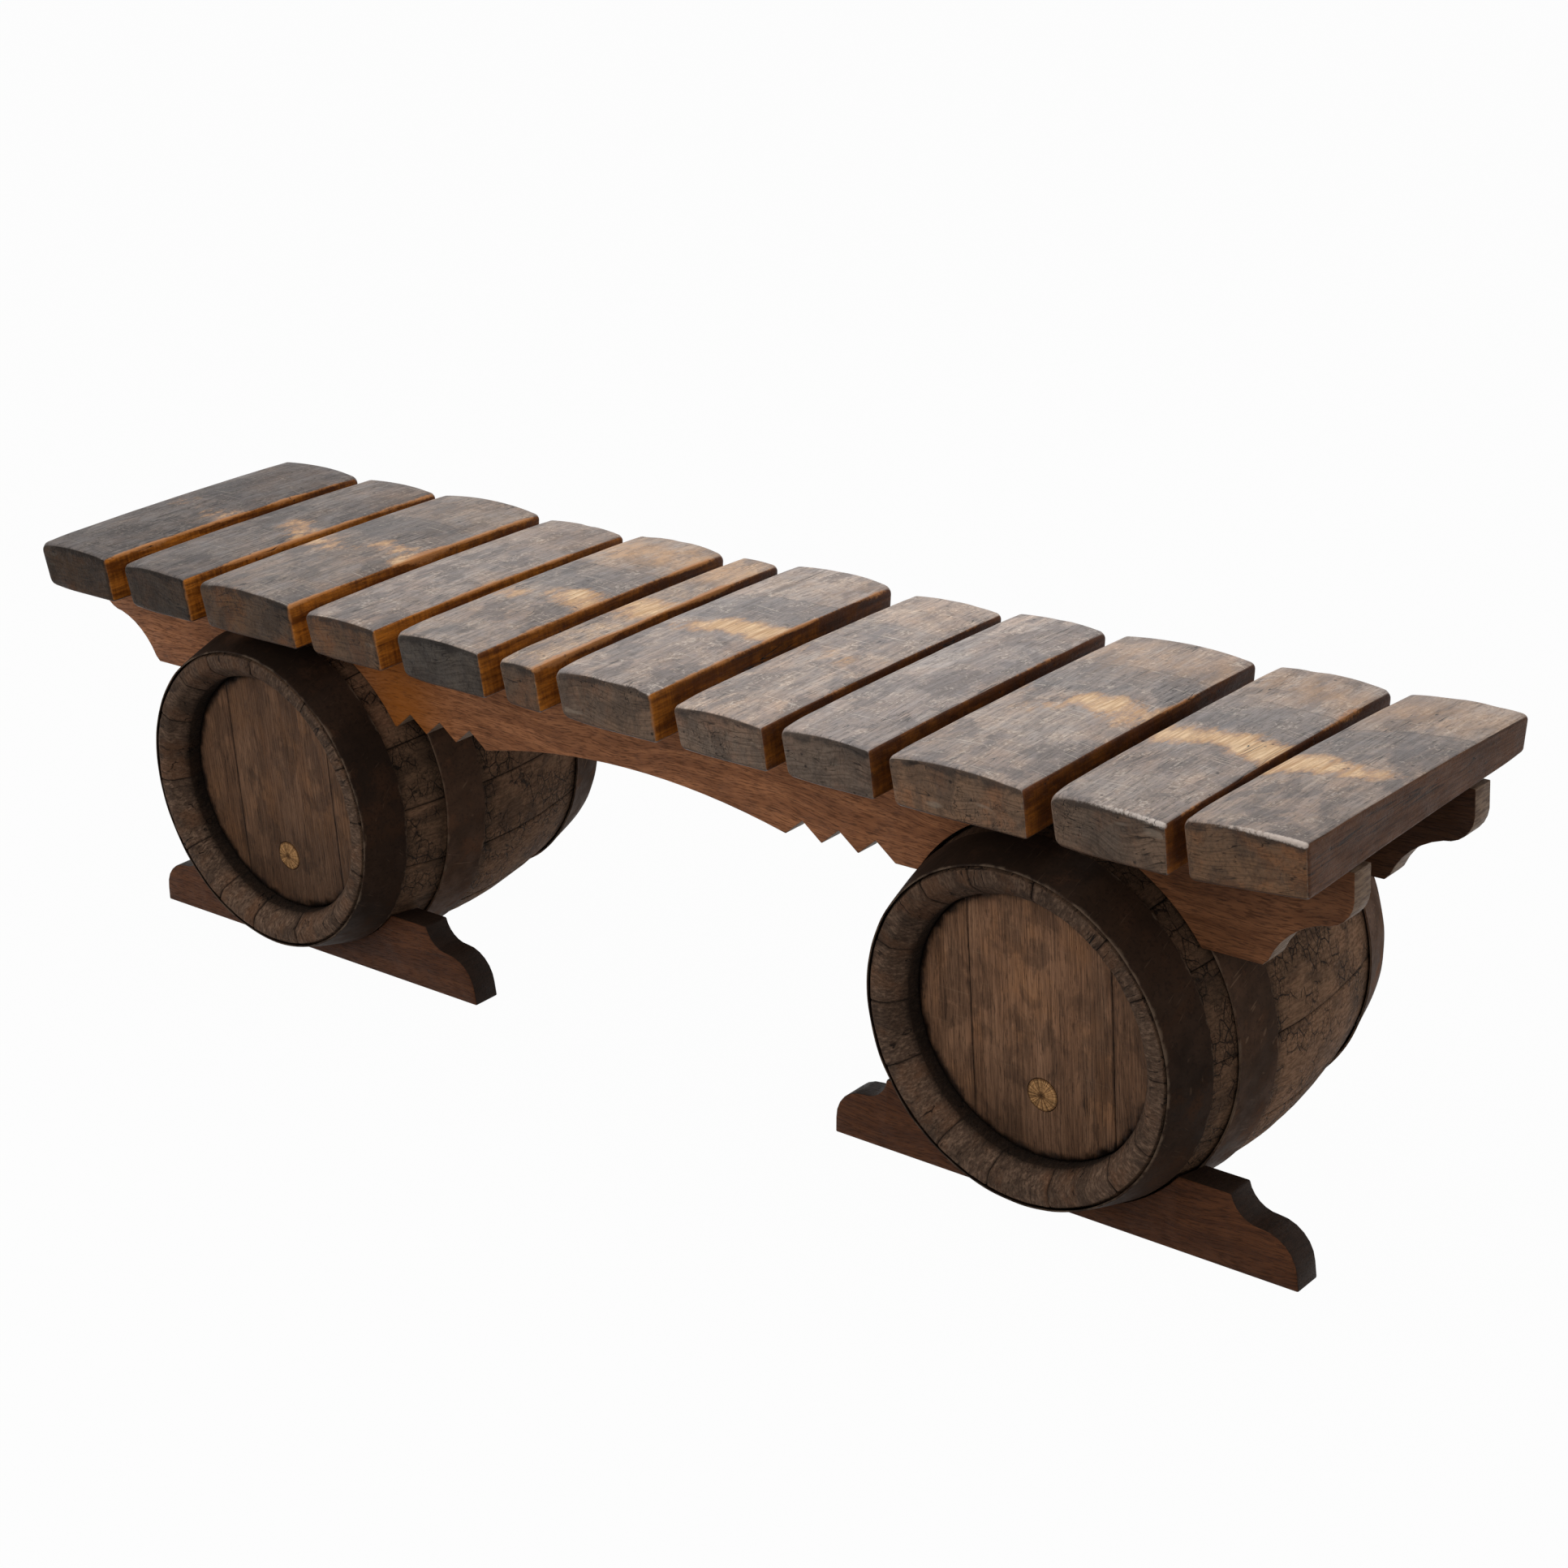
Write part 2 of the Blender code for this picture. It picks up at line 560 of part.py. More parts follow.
def head_disc(side):
    """A keg's head from its front face, with the tongue around it that sits in the groove."""
    facet_loss = math.cos(WIDEST_FACET / 2)
    lip = HEAD_LIP_RADIUS + EXTRA_RADIUS[side]
    body = lip * facet_loss - GAP
    tongue = (lip + CROZE_DEPTH) * facet_loss - GAP
    tongue_front = (HEAD_THICKNESS - CROZE_WIDTH) / 2 + GAP
    tongue_rear = HEAD_THICKNESS - tongue_front
    points = [
        (0.0, 0.0), (body, 0.0), (body, tongue_front), (tongue, tongue_front),
        (tongue, tongue_rear), (body, tongue_rear), (body, HEAD_THICKNESS), (0.0, HEAD_THICKNESS),
    ]
    return turned(points, False, HEAD_STEPS)


def trim(bm, place_x, keep_right):
    """Cut a solid on an upright plane at a place in X, and close the cut."""
    outward = Vector((-1, 0, 0)) if keep_right else Vector((1, 0, 0))
    plane = Vector((place_x, 0, 0))
    bmesh.ops.bisect_plane(bm, geom=whole(bm), plane_co=plane, plane_no=outward, clear_outer=True)
    bmesh.ops.holes_fill(bm, edges=bm.edges, sides=0)


def add_tap_plug(side, place, material, collection):
    """The plug in the tap hole: a short tapered cylinder that stands a little proud of the head."""
    bm = bmesh.new()
    length = HEAD_THICKNESS + PLUG_PROUD
    middle = PLUG_PLACE[side] + Vector((0.0, (HEAD_THICKNESS - PLUG_PROUD) / 2, 0.0))
    matrix = Matrix.Translation(middle) @ Matrix.Rotation(math.pi / 2, 4, "X")
    bmesh.ops.create_cone(
        bm, cap_ends=True, segments=PLUG_STEPS, radius1=PLUG_RADIUS - PLUG_TAPER, radius2=PLUG_RADIUS,
        depth=length, matrix=matrix,
    )
    return add_mesh(f"{side}_keg_tap_plug", bm, material, collection, place)


def add_front_head(side, place, material, collection, cutters):
    """The boards of a front head, with the tap hole through the one that is below its middle."""
    faces = (-PLUG_PROUD, HEAD_THICKNESS)
    radii = (PLUG_RADIUS + PLUG_GAP, PLUG_RADIUS - PLUG_TAPER + PLUG_GAP)
    hole_place = Vector(place) + PLUG_PLACE[side]
    hole = add_cone_cutter(f"{side}_tap_hole", hole_place, radii, faces, PLUG_STEPS, cutters)
    joints = [None, *HEAD_JOINTS, None]
    for number, (left, right) in enumerate(zip(joints, joints[1:])):
        bm = head_disc(side)
        if left is not None:
            trim(bm, left + GAP / 2, keep_right=True)
        if right is not None:
            trim(bm, right - GAP / 2, keep_right=False)
        board = add_mesh(f"{side}_keg_head_board_{number + 1}", bm, material, collection, place)
        if left is not None and right is not None:
            cut(board, hole)


def add_keg(side, rhythm, materials, collection, cutters):
    """One keg: staves, hoops, two heads and the plug in its tap hole."""
    place = (KEG_X[side], KEG_FRONT_Y, KEG_Z[side])
    head_place = (KEG_X[side], KEG_FRONT_Y + HEAD_RECESS, KEG_Z[side])
    rear_place = (KEG_X[side], KEG_FRONT_Y + KEG_LENGTH - HEAD_RECESS - HEAD_THICKNESS, KEG_Z[side])
    add_staves(side, rhythm, place, materials["stave"], collection)
    add_hoops(side, place, materials["hoop"], collection)
    add_front_head(side, head_place, materials["head"], collection, cutters)
    add_mesh(f"{side}_keg_rear_head", head_disc(side), materials["head"], collection, rear_place)
    add_tap_plug(side, head_place, materials["plug"], collection)


def main():
    clear_scene()
    collection = make_collection("barrel_bench")
    cutters = make_collection("cutters")
    materials = {
        "seat": make_material("seat_oak", (0.085, 0.055, 0.040), 0.45),
        "rail": make_material("rail_oak", (0.130, 0.062, 0.032), 0.55),
        "foot": make_material("foot_oak", (0.070, 0.040, 0.027), 0.60),
        "stave": make_material("keg_stave_oak", (0.060, 0.040, 0.028), 0.75),
        "head": make_material("keg_head_oak", (0.100, 0.060, 0.036), 0.65),
        "hoop": make_material("hoop_steel", (0.042, 0.030, 0.024), 0.45, 0.6),
        "plug": make_material("plug_wood", (0.330, 0.190, 0.080), 0.70),
    }
    add_seat(materials["seat"], collection)
    for which in RAIL_FACES:
        add_rail(which, materials["rail"], collection, cutters)
    for rhythm, side in ((3, "left"), (5, "right")):
        add_foot(side, materials["foot"], collection, cutters)
        add_keg(side, rhythm, materials, collection, cutters)


main()
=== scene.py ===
"""Looks of the barrel bench: worn cask staves as a seat, shaped oak rails and feet, and two old kegs.

Everything is in metres in the part's frame: X along the bench, Y from its front to its back, Z up.
Each piece takes its place from the solid that it stands for. Wood pieces carry a point attribute, grain,
that holds the place along, across and through the board, so that their figure follows the timber.
"""
import math

import bmesh
import bpy
from mathutils import Matrix, Vector, noise


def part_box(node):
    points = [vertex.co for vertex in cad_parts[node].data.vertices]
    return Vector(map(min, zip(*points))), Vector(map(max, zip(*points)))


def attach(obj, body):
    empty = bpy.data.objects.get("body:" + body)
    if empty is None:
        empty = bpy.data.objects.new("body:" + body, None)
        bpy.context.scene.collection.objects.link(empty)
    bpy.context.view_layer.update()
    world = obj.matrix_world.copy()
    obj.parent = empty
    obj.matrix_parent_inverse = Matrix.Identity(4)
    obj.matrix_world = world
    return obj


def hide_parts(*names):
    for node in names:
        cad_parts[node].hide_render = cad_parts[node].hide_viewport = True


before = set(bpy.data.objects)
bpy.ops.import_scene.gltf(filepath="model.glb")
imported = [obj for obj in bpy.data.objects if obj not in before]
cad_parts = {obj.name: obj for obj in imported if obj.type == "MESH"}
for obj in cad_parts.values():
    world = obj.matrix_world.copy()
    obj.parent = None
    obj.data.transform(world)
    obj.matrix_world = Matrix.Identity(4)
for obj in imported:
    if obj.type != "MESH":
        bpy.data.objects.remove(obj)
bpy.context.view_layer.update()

# Seat planks
PLANK_COUNT = 12
PLANK_CURVE_RADIUS = 0.55       # of the old cask, across a plank
PLANK_BOW = 0.002               # rise of a plank's middle above its ends
PLANK_REAR_RISE = 0.008         # rise of its underside from front to rear
PLANK_SIDE_SLOPE = 0.002        # each side leans in by this much at the underside
PLANK_END_SLOPE = 0.006         # each end leans in by this much at the underside
PLANK_FLARES = (0.014, 0.010, 0.0075, 0.006, 0.003, 0.0, 0.0, 0.0, 0.0, 0.0, 0.0, 0.0)  # at the rear
LAST_PLANK_THICKNESS = 0.060
LAST_PLANK_TWIST = (0.010, 0.005, 0.012)    # dip and lean of its top, wane of its underside
PLANK_CELL = 0.0070             # spacing of the mesh on a plank
EDGE_CUTS = (0.0010, 0.0024, 0.0044, 0.0072, 0.0108)    # closer spacing inwards from each edge
LONG_EDGE = 0.0030              # rounding of its long edges
END_EDGE = 0.0046               # rounding of the edges around its ends
PLANK_CORNERS = (0.011, 0.009, 0.008, 0.009, 0.011, 0.009, 0.011, 0.008, 0.009, 0.007, 0.010, 0.008)

# Wear of the planks, and painted light and highlights on them, from the left end of the bench to the right
RUB_BAND_Y = (-0.01, -0.01, -0.02, -0.02, -0.030, -0.005, -0.027, -0.02, 0.0, -0.008, -0.018, -0.035)
RUB_BAND_HALF = (0.03, 0.03, 0.03, 0.03, 0.026, 0.040, 0.024, 0.03, 0.03, 0.028, 0.024, 0.020)
BAND_LEAN = (0.0, 0.0, 0.0, 0.0, 0.004, 0.006, 0.014, 0.0, 0.0, 0.005, 0.0, 0.012)    # back at the right
STAIN_FRONT = 0.026             # from the rubbed band of an old hoop back to a dark stain
STAIN_REAR = 0.110              # and to the line where the stain ends
PALE_BACK_Y = 0.135             # middle of the pale stretch near the rear
PALE_BACK_HALF = 0.045
PLANK_STAIN = (0.35, 0.30, 0.75, 0.35, 0.95, 0.60, 1.00, 0.60, 0.45, 0.85, 1.00, 0.95)
PLANK_RUBBED = (0.35, 0.55, 0.65, 0.30, 0.80, 1.15, 1.20, 0.28, 0.10, 0.85, 1.15, 1.00)
PLANK_PALE_BACK = (0.05, 0.10, 0.15, 0.20, 1.20, 1.10, 0.30, 0.25, 0.10, 0.55, 0.60, 0.55)
PLANK_SIDE_AMBER_AND_LIGHT = (0.85, 0.95, 0.70, 0.95, 0.50, 0.45, 0.40, 0.25, 0.20, 0.22, 0.18, 0.10)     # of its sides: their amber varnish, and painted light that is stronger on the left, where the gaps are wider
PLANK_GREY_ENDS = (0.15, 0.40, 0.05, 0.10, 0.85, 0.30, 0.35, 0.50, 0.65, 0.20, 0.45, 0.10)
PLANK_RIM_HIGHLIGHT = (0.2, 0.4, 0.45, 0.3, 0.5, 0.8, 0.6, 0.5, 0.4, 0.4, 1.2, 1.35)  # painted highlight of its front rim
PLANK_CHIPS = (0.4, 0.5, 0.6, 0.4, 0.4, 0.4, 2.0, 0.5, 0.3, 0.5, 0.3, 0.3)    # along its front rim
PLANK_GREY = (0.85, 0.80, 0.60, 0.65, 0.60, 0.20, 0.70, 0.55, 0.75, 0.60, 0.65, 0.50)
PLANK_TAN = (0.10, 0.15, 0.25, 0.20, 0.30, 0.75, 0.25, 0.30, 0.15, 0.25, 0.20, 0.25)
PLANK_SHEEN = (0.15, 0.25, 0.40, 0.50, 0.50, 0.50, 0.60, 0.70, 0.70, 0.60, 0.50, 0.40)
# painted light: tops and ends darker towards the left end, where less light falls, and tops lighter towards
# the middle and right as a painted sheen; the rest is each plank's own tone
PLANK_TOP_TONE_AND_LIGHT = (0.65, 0.79, 0.95, 1.33, 1.28, 1.62, 1.58, 1.72, 1.63, 1.47, 1.35, 1.26)
PLANK_END_TONE_AND_LIGHT = (0.20, 0.23, 0.43, 0.53, 0.41, 0.54, 0.80, 0.96, 0.77, 0.84, 0.72, 0.68)

# Rails
RAIL_LIT_PATCH_X = -0.36          # middle of a painted pool of amber light on the front rail
RAIL_SHADED_X = 0.50            # where the painted shade of its right end starts
BOARD_CUTS = 60                 # mesh steps along a rail or foot

# Kegs
KEG_LENGTH = 0.393
KEG_BILGE_RADIUS = 0.2125
KEG_CHIME_RADIUS = 0.1775
KEG_CURVE = 1.8                 # power of the curve from the bilge to the ends
EXTRA_RADIUS = {"left": 0.005, "right": 0.0}
STAVE_COUNT = 14
STAVE_VARIATION = 0.2
STAVE_RHYTHM = {"left": 3, "right": 5}
STAVE_THICKNESS = 0.040
STAVE_STEPS = 16                # mesh steps across a stave, closer together at its joints
STAVE_SEAM = 0.0003             # between neighbouring staves
STAVE_SKIN = 0.0025             # depth of what counts as its outer face
JOINT_GROOVE = 0.0014           # depth of the worn groove along a joint
JOINT_REACH = 0.0008            # half its width
CHIME_LAND = 0.020
CHIME_BEVEL_RUN = 0.020
HEAD_RECESS = 0.038
HEAD_THICKNESS = 0.020
HEAD_LIP_RADIUS = 0.1437
HEAD_PAINTED_LIGHT = {"left": 0.67, "right": 1.0}   # painted light: the left keg's head is darker, where less light falls
CROZE_DEPTH = 0.006
CROZE_WIDTH = 0.009
HOOP_EDGE_INSET = 0.002
HOOP_THICKNESS = 0.0018
HOOP_GAP = 0.0006
HOOP_STEPS = 160
HOOP_RUST_AND_LIGHT = {"left": (0.97, 3.0, 3.3), "right": (0.97, 2.3, 3.3)}   # brightness, front to rear: lighter rust on the quarter hoops, and painted light, with the front hoops in painted shade under the seat and a painted highlight on the rear hoops
STRIP_PAINTED_SHADE = {"left": 0.25, "right": 0.55}    # painted shade on the wood between its front and quarter hoops, darker towards the top
PLUG_SEED = {"left": 3.0, "right": 8.0}     # for the roughness of its plug
SEAM_ANGLE = -math.pi / 2       # the underside of a keg, where wrapped measures start

# Camera, as fitted to the photograph
CAMERA_PLACE = Vector((2.1881, -2.3027, 1.5667))
CAMERA_AZIMUTH = math.radians(41.920)
CAMERA_ELEVATION = math.radians(21.943)
CAMERA_TILT = math.radians(-3.556)      # slope of the picture's lower edge
CAMERA_LENS = 71.02


def shade(red, green, blue):
    """A colour from its screen values of 0 to 255."""
    def linear(value):
        value /= 255
        return value / 12.92 if value <= 0.04045 else ((value + 0.055) / 1.055) ** 2.4
    return (linear(red), linear(green), linear(blue), 1.0)


# Node helpers

def add(tree, kind, inputs=None, **settings):
    """A node with its settings, and with its inputs set or linked."""
    node = tree.nodes.new(kind)
    for name, value in settings.items():
        setattr(node, name, value)
    for name, value in (inputs or {}).items():
        if isinstance(value, bpy.types.NodeSocket):
            tree.links.new(value, node.inputs[name])
        else:
            node.inputs[name].default_value = value
    return node


def mixed(tree, share, first, second):
    """Two colours mixed by a share."""
    return add(tree, "ShaderNodeMix", {0: share, 6: first, 7: second}, data_type="RGBA").outputs[2]


def reckon(tree, operation, first, second=0.0, third=0.0):
    """A sum on numbers."""
    return add(tree, "ShaderNodeMath", {0: first, 1: second, 2: third}, operation=operation).outputs[0]


def times(tree, first, second):
    """One number times another."""
    return reckon(tree, "MULTIPLY", first, second)


def summed(tree, base, *parts):
    """A number with others added, each times its share."""
    for value, share in parts:
        base = reckon(tree, "MULTIPLY_ADD", value, share, base)
    return base


def eased(tree, value, low, high, start=0.0, end=1.0):
    """A number that goes smoothly from start to end while value goes from low to high."""
    inputs = {"Value": value, "From Min": low, "From Max": high, "To Min": start, "To Max": end}
    return add(tree, "ShaderNodeMapRange", inputs, interpolation_type="SMOOTHSTEP").outputs[0]


def layered(tree, colour, *layers):
    """A colour under others: each has a mask, its share and a tone, and limits if the mask is to be eased."""
    for mask, share, tone, *limits in layers:
        if limits:
            mask = eased(tree, mask, *limits, 0.0, share)
        elif share != 1.0:
            mask = times(tree, mask, share)
        colour = mixed(tree, mask, colour, shade(*tone))
    return colour


def scaled(tree, vector, factor):
    """A vector or colour times a number."""
    return add(tree, "ShaderNodeVectorMath", {0: vector, 3: factor}, operation="SCALE").outputs[0]


def moved(tree, vector, offset):
    """A vector with another added."""
    return add(tree, "ShaderNodeVectorMath", {0: vector, 1: offset}, operation="ADD").outputs[0]


def stretched(tree, vector, scale, turn=(0.0, 0.0, 0.0), shift=(0.0, 0.0, 0.0)):
    """A vector shifted, turned and scaled."""
    inputs = {"Vector": vector, "Location": shift, "Rotation": turn, "Scale": scale}
    return add(tree, "ShaderNodeMapping", inputs).outputs[0]


def cloud(tree, vector, scale=1.0, detail=4.0, roughness=0.55, distortion=0.0):
    """Soft noise of 0 to 1, on one scale or on one scale for each axis."""
    if isinstance(scale, tuple):
        vector = stretched(tree, vector, scale)
        scale = 1.0
    inputs = {"Vector": vector, "Scale": scale, "Detail": detail, "Roughness": roughness}
    return add(tree, "ShaderNodeTexNoise", {**inputs, "Distortion": distortion}).outputs[0]


def thin_lines(tree, clouds, width):
    """1 on the lines where soft noise crosses its middle, and 0 away from them."""
    off_middle = reckon(tree, "ABSOLUTE", reckon(tree, "SUBTRACT", clouds, 0.5))
    return eased(tree, off_middle, 0.0, width, 1.0, 0.0)


def apart(tree, vector):
    """The three parts of a vector."""
    return add(tree, "ShaderNodeSeparateXYZ", {0: vector}).outputs


def carried(tree, name, output="Vector"):
    """An attribute of the piece."""
    return add(tree, "ShaderNodeAttribute", attribute_name=name).outputs[output]


def new_group(name, label):
    """An empty node group, and the place that it takes in."""
    group = bpy.data.node_groups.new(name, "ShaderNodeTree")
    group.interface.new_socket(label, in_out="INPUT", socket_type="NodeSocketVector")
    return group, group.nodes.new("NodeGroupInput").outputs[label]


def put_out(group, **numbers):
    """The numbers that a node group puts out."""
    for label in numbers:
        group.interface.new_socket(label, in_out="OUTPUT", socket_type="NodeSocketFloat")
    result = group.nodes.new("NodeGroupOutput").inputs
    for label, number in numbers.items():
        group.links.new(number, result[label])
    return group


def use(tree, group, **inputs):
    """A node group in a tree."""
    return add(tree, "ShaderNodeGroup", inputs, node_tree=group).outputs


def make_oak_figure():
    """Oak: broad figure, fine fibres, dark pores and drying cracks, along the grain."""
    group, grain = new_group("oak_figure", "Grain")
    bend = cloud(group, grain, (5, 9, 9), detail=2)
    offset = add(group, "ShaderNodeCombineXYZ", {1: summed(group, -0.01, (bend, 0.02))}).outputs[0]
    bent = moved(group, grain, offset)
    figure = cloud(group, bent, (5, 62, 62), detail=3)
    fibre = cloud(group, bent, (15, 270, 270), detail=4, roughness=0.7)
    pore_cloud = cloud(group, bent, (75, 560, 560), detail=2)
    pores = eased(group, pore_cloud, 0.57, 0.68)
    crack_cloud = cloud(group, bent, (6, 120, 60), detail=2, distortion=0.3)
    crack_place = eased(group, cloud(group, grain, (9, 14, 14), detail=2), 0.53, 0.63)
    cracks = times(group, thin_lines(group, crack_cloud, 0.012), crack_place)
    height = summed(group, times(group, figure, 0.4), (fibre, 0.55), (pores, -0.35), (cracks, -1.0))
    return put_out(
        group,
        Figure=eased(group, figure, 0.32, 0.68),
        Fibre=eased(group, fibre, 0.34, 0.66),
        Pores=pores,
        Cracks=cracks,
        Height=height,
    )


def make_weathering():
    """Old use: broad patches, clouds, tints, small mottling, fine grit, thin scratches and pits."""
    group, place = new_group("weathering", "Place")
    patches = cloud(group, place, 9.0, detail=4, roughness=0.6, distortion=0.4)
    clouds = cloud(group, place, (17, 26, 26), detail=6, roughness=0.62, distortion=0.5)
    aside = stretched(group, place, (13, 19, 19), shift=(3.7, 1.9, 0.4))
    tints = cloud(group, aside, detail=6, roughness=0.66)
    mottle = cloud(group, place, 48.0, detail=5, roughness=0.65)
    grit = cloud(group, place, 240.0, detail=4, roughness=0.7)
    lines = None
    for turn, width in ((0.5, 640.0), (-0.35, 760.0), (1.25, 700.0)):
        line_cloud = cloud(group, stretched(group, place, (width, 15.0, 60.0), (0.0, 0.0, turn)), detail=1)
        line = eased(group, line_cloud, 0.71, 0.78)
        lines = line if lines is None else reckon(group, "MAXIMUM", lines, line)
    cells = add(group, "ShaderNodeTexVoronoi", {"Vector": place, "Scale": 95.0}, feature="F1")
    seldom = eased(group, cloud(group, place, 60.0, detail=1), 0.60, 0.68)
    pits = times(group, eased(group, cells.outputs["Distance"], 0.10, 0.22, 1.0, 0.0), seldom)
    return put_out(
        group,
        Patches=eased(group, patches, 0.38, 0.62),
        Clouds=eased(group, clouds, 0.38, 0.62),
        Tints=eased(group, tints, 0.46, 0.66),
        Mottle=eased(group, mottle, 0.32, 0.68),
        Grit=eased(group, grit, 0.33, 0.67),
        Scratches=lines,
        Pits=pits,
    )


def make_crazing():
    """Old keg wood: a net of short cracks along and across the stave."""
    group, grain = new_group("crazing", "Grain")
    shakes = add(group, "ShaderNodeTexNoise", {"Vector": grain, "Scale": 90.0, "Detail": 3.0})
    either_way = {0: shakes.outputs["Color"], 1: (0.5, 0.5, 0.5)}
    jitter = add(group, "ShaderNodeVectorMath", either_way, operation="SUBTRACT").outputs[0]
    shaken = moved(group, grain, scaled(group, jitter, 0.0045))
    net = None
    for scale, width in (((82, 46, 60), 0.055), ((190, 130, 150), 0.09)):
        cells = add(
            group, "ShaderNodeTexVoronoi", {"Vector": stretched(group, shaken, scale), "Scale": 1.0},
            feature="DISTANCE_TO_EDGE",
        ).outputs["Distance"]
        lines = eased(group, cells, 0.0, width, 1.0, 0.0)
        net = lines if net is None else summed(group, net, (lines, 0.55))
    where = eased(group, cloud(group, grain, 34.0, detail=3), 0.40, 0.58)
    cracks = reckon(group, "MINIMUM", times(group, net, where), 1.0)
    lumps = cloud(group, grain, (150, 330, 200), detail=5, roughness=0.7)
    height = summed(group, lumps, (cracks, -0.8))
    return put_out(
        group,
        Cracks=cracks,
        Lumps=eased(group, lumps, 0.34, 0.66),
        Height=height,
    )


def make_end_checks():
    """End grain: cracks that run from the outside to the inside of a stave, and lumpy, broken fibres."""
    group, grain = new_group("end_checks", "Grain")
    checks = None
    for scale, width, low, strength in (((40, 40, 9), 0.020, 0.52, 1.0), ((60, 100, 20), 0.014, 0.56, 0.6)):
        check_cloud = cloud(group, stretched(group, grain, scale), detail=3, roughness=0.5, distortion=0.2)
        where = cloud(group, grain, 30.0 + scale[1] / 10, detail=2)
        where = eased(group, where, low, low + 0.12, 0.0, strength)
        line = times(group, thin_lines(group, check_cloud, width), where)
        checks = line if checks is None else reckon(group, "MAXIMUM", checks, line)
    rough = cloud(group, grain, (210, 260, 130), detail=6, roughness=0.66)
    return put_out(
        group,
        Checks=checks,
        Rough=eased(group, rough, 0.36, 0.64),
    )


OAK_FIGURE = make_oak_figure()
WEATHERING = make_weathering()
CRAZING = make_crazing()
END_CHECKS = make_end_checks()


# Finishes

def new_finish(slot, shine):
    """The material of one of the part's slots, with a level for its highlights, its tree, shader and grain."""
    material = bpy.data.materials.new(f"{slot}_finish")
    material.use_nodes = True
    tree = material.node_tree
    shader = tree.nodes["Principled BSDF"]
    shader.inputs["Specular IOR Level"].default_value = shine
    return material, tree, shader, carried(tree, "grain")


def finish_with(tree, shader, colour, roughness, height, strength, distance):
    """Link colour, roughness and a bump to the shader."""
    tree.links.new(colour, shader.inputs["Base Color"])
    tree.links.new(roughness, shader.inputs["Roughness"])
    bump = add(tree, "ShaderNodeBump", {"Strength": strength, "Distance": distance, "Height": height})
    tree.links.new(bump.outputs["Normal"], shader.inputs["Normal"])


def facing(tree):
    """How far the surface faces along X, Y and Z, as three numbers without sign, and Z with it."""
    parts = apart(tree, add(tree, "ShaderNodeNewGeometry").outputs["Normal"])
    return [reckon(tree, "ABSOLUTE", part) for part in parts] + [parts[2]]


def plank_top(tree, oak, age, bands, gap, marks, level, ragged):
    """Colour of a plank's top, and how far it is rubbed down to bare wood."""
    warm = mixed(tree, age["Patches"], shade(146, 120, 101), shade(162, 143, 128))
    cool = mixed(tree, age["Patches"], shade(127, 121, 121), shade(151, 144, 142))
    top = mixed(tree, marks[1], warm, cool)
    top = layered(
        tree, top,
        (age["Tints"], 0.24, (172, 128, 92)),
        (age["Mottle"], marks[2], (188, 152, 114)),
        (age["Clouds"], 0.66, (86, 82, 83), 0.62, 0.0),
        (oak["Figure"], 0.30, (100, 87, 80)),
    )
    stain_gap = summed(tree, gap, (ragged, 0.010))
    starts = eased(tree, stain_gap, STAIN_FRONT, STAIN_FRONT + 0.014)
    stain = times(tree, starts, eased(tree, stain_gap, STAIN_REAR, STAIN_REAR + 0.010, 1.0, 0.0))
    top = layered(tree, top, (times(tree, stain, bands[1]), 0.58, (90, 88, 90)))
    line_gap = reckon(tree, "SUBTRACT", summed(tree, gap, (age["Mottle"], 0.004)), STAIN_REAR)
    line = eased(tree, reckon(tree, "ABSOLUTE", line_gap), 0.0004, 0.0022, 1.0, 0.0)
    top = layered(
        tree, top,
        (times(tree, line, bands[1]), 0.55, (52, 47, 45)),
        (oak["Fibre"], 0.56, (74, 67, 63)),
        (times(tree, age["Grit"], age["Mottle"]), 0.36, (204, 192, 180), 0.40, 0.95),
        (age["Grit"], 0.32, (62, 54, 49), 0.30, 0.0),
        (oak["Pores"], 0.62, (52, 45, 41)),
        (age["Scratches"], 0.55, (206, 192, 176)),
    )
    # painted light: the top's colour is scaled by its plank's level of painted light and tone
    top = scaled(tree, top, level)
    wear = summed(tree, ragged, (bands[0], 1.30))
    halo = times(tree, eased(tree, wear, 0.95, 1.50, 0.0, 0.68), eased(tree, bands[0], 0.12, 0.50))
    top = layered(tree, top, (halo, 1.0, (190, 145, 106)))
    rubbed = eased(tree, wear, 1.25, 2.05)
    bare = mixed(tree, oak["Fibre"], shade(242, 210, 168), shade(190, 146, 102))
    top = mixed(tree, times(tree, rubbed, 0.95), top, bare)
    return layered(tree, top, (times(tree, bands[2], ragged), 0.62, (204, 160, 118))), rubbed


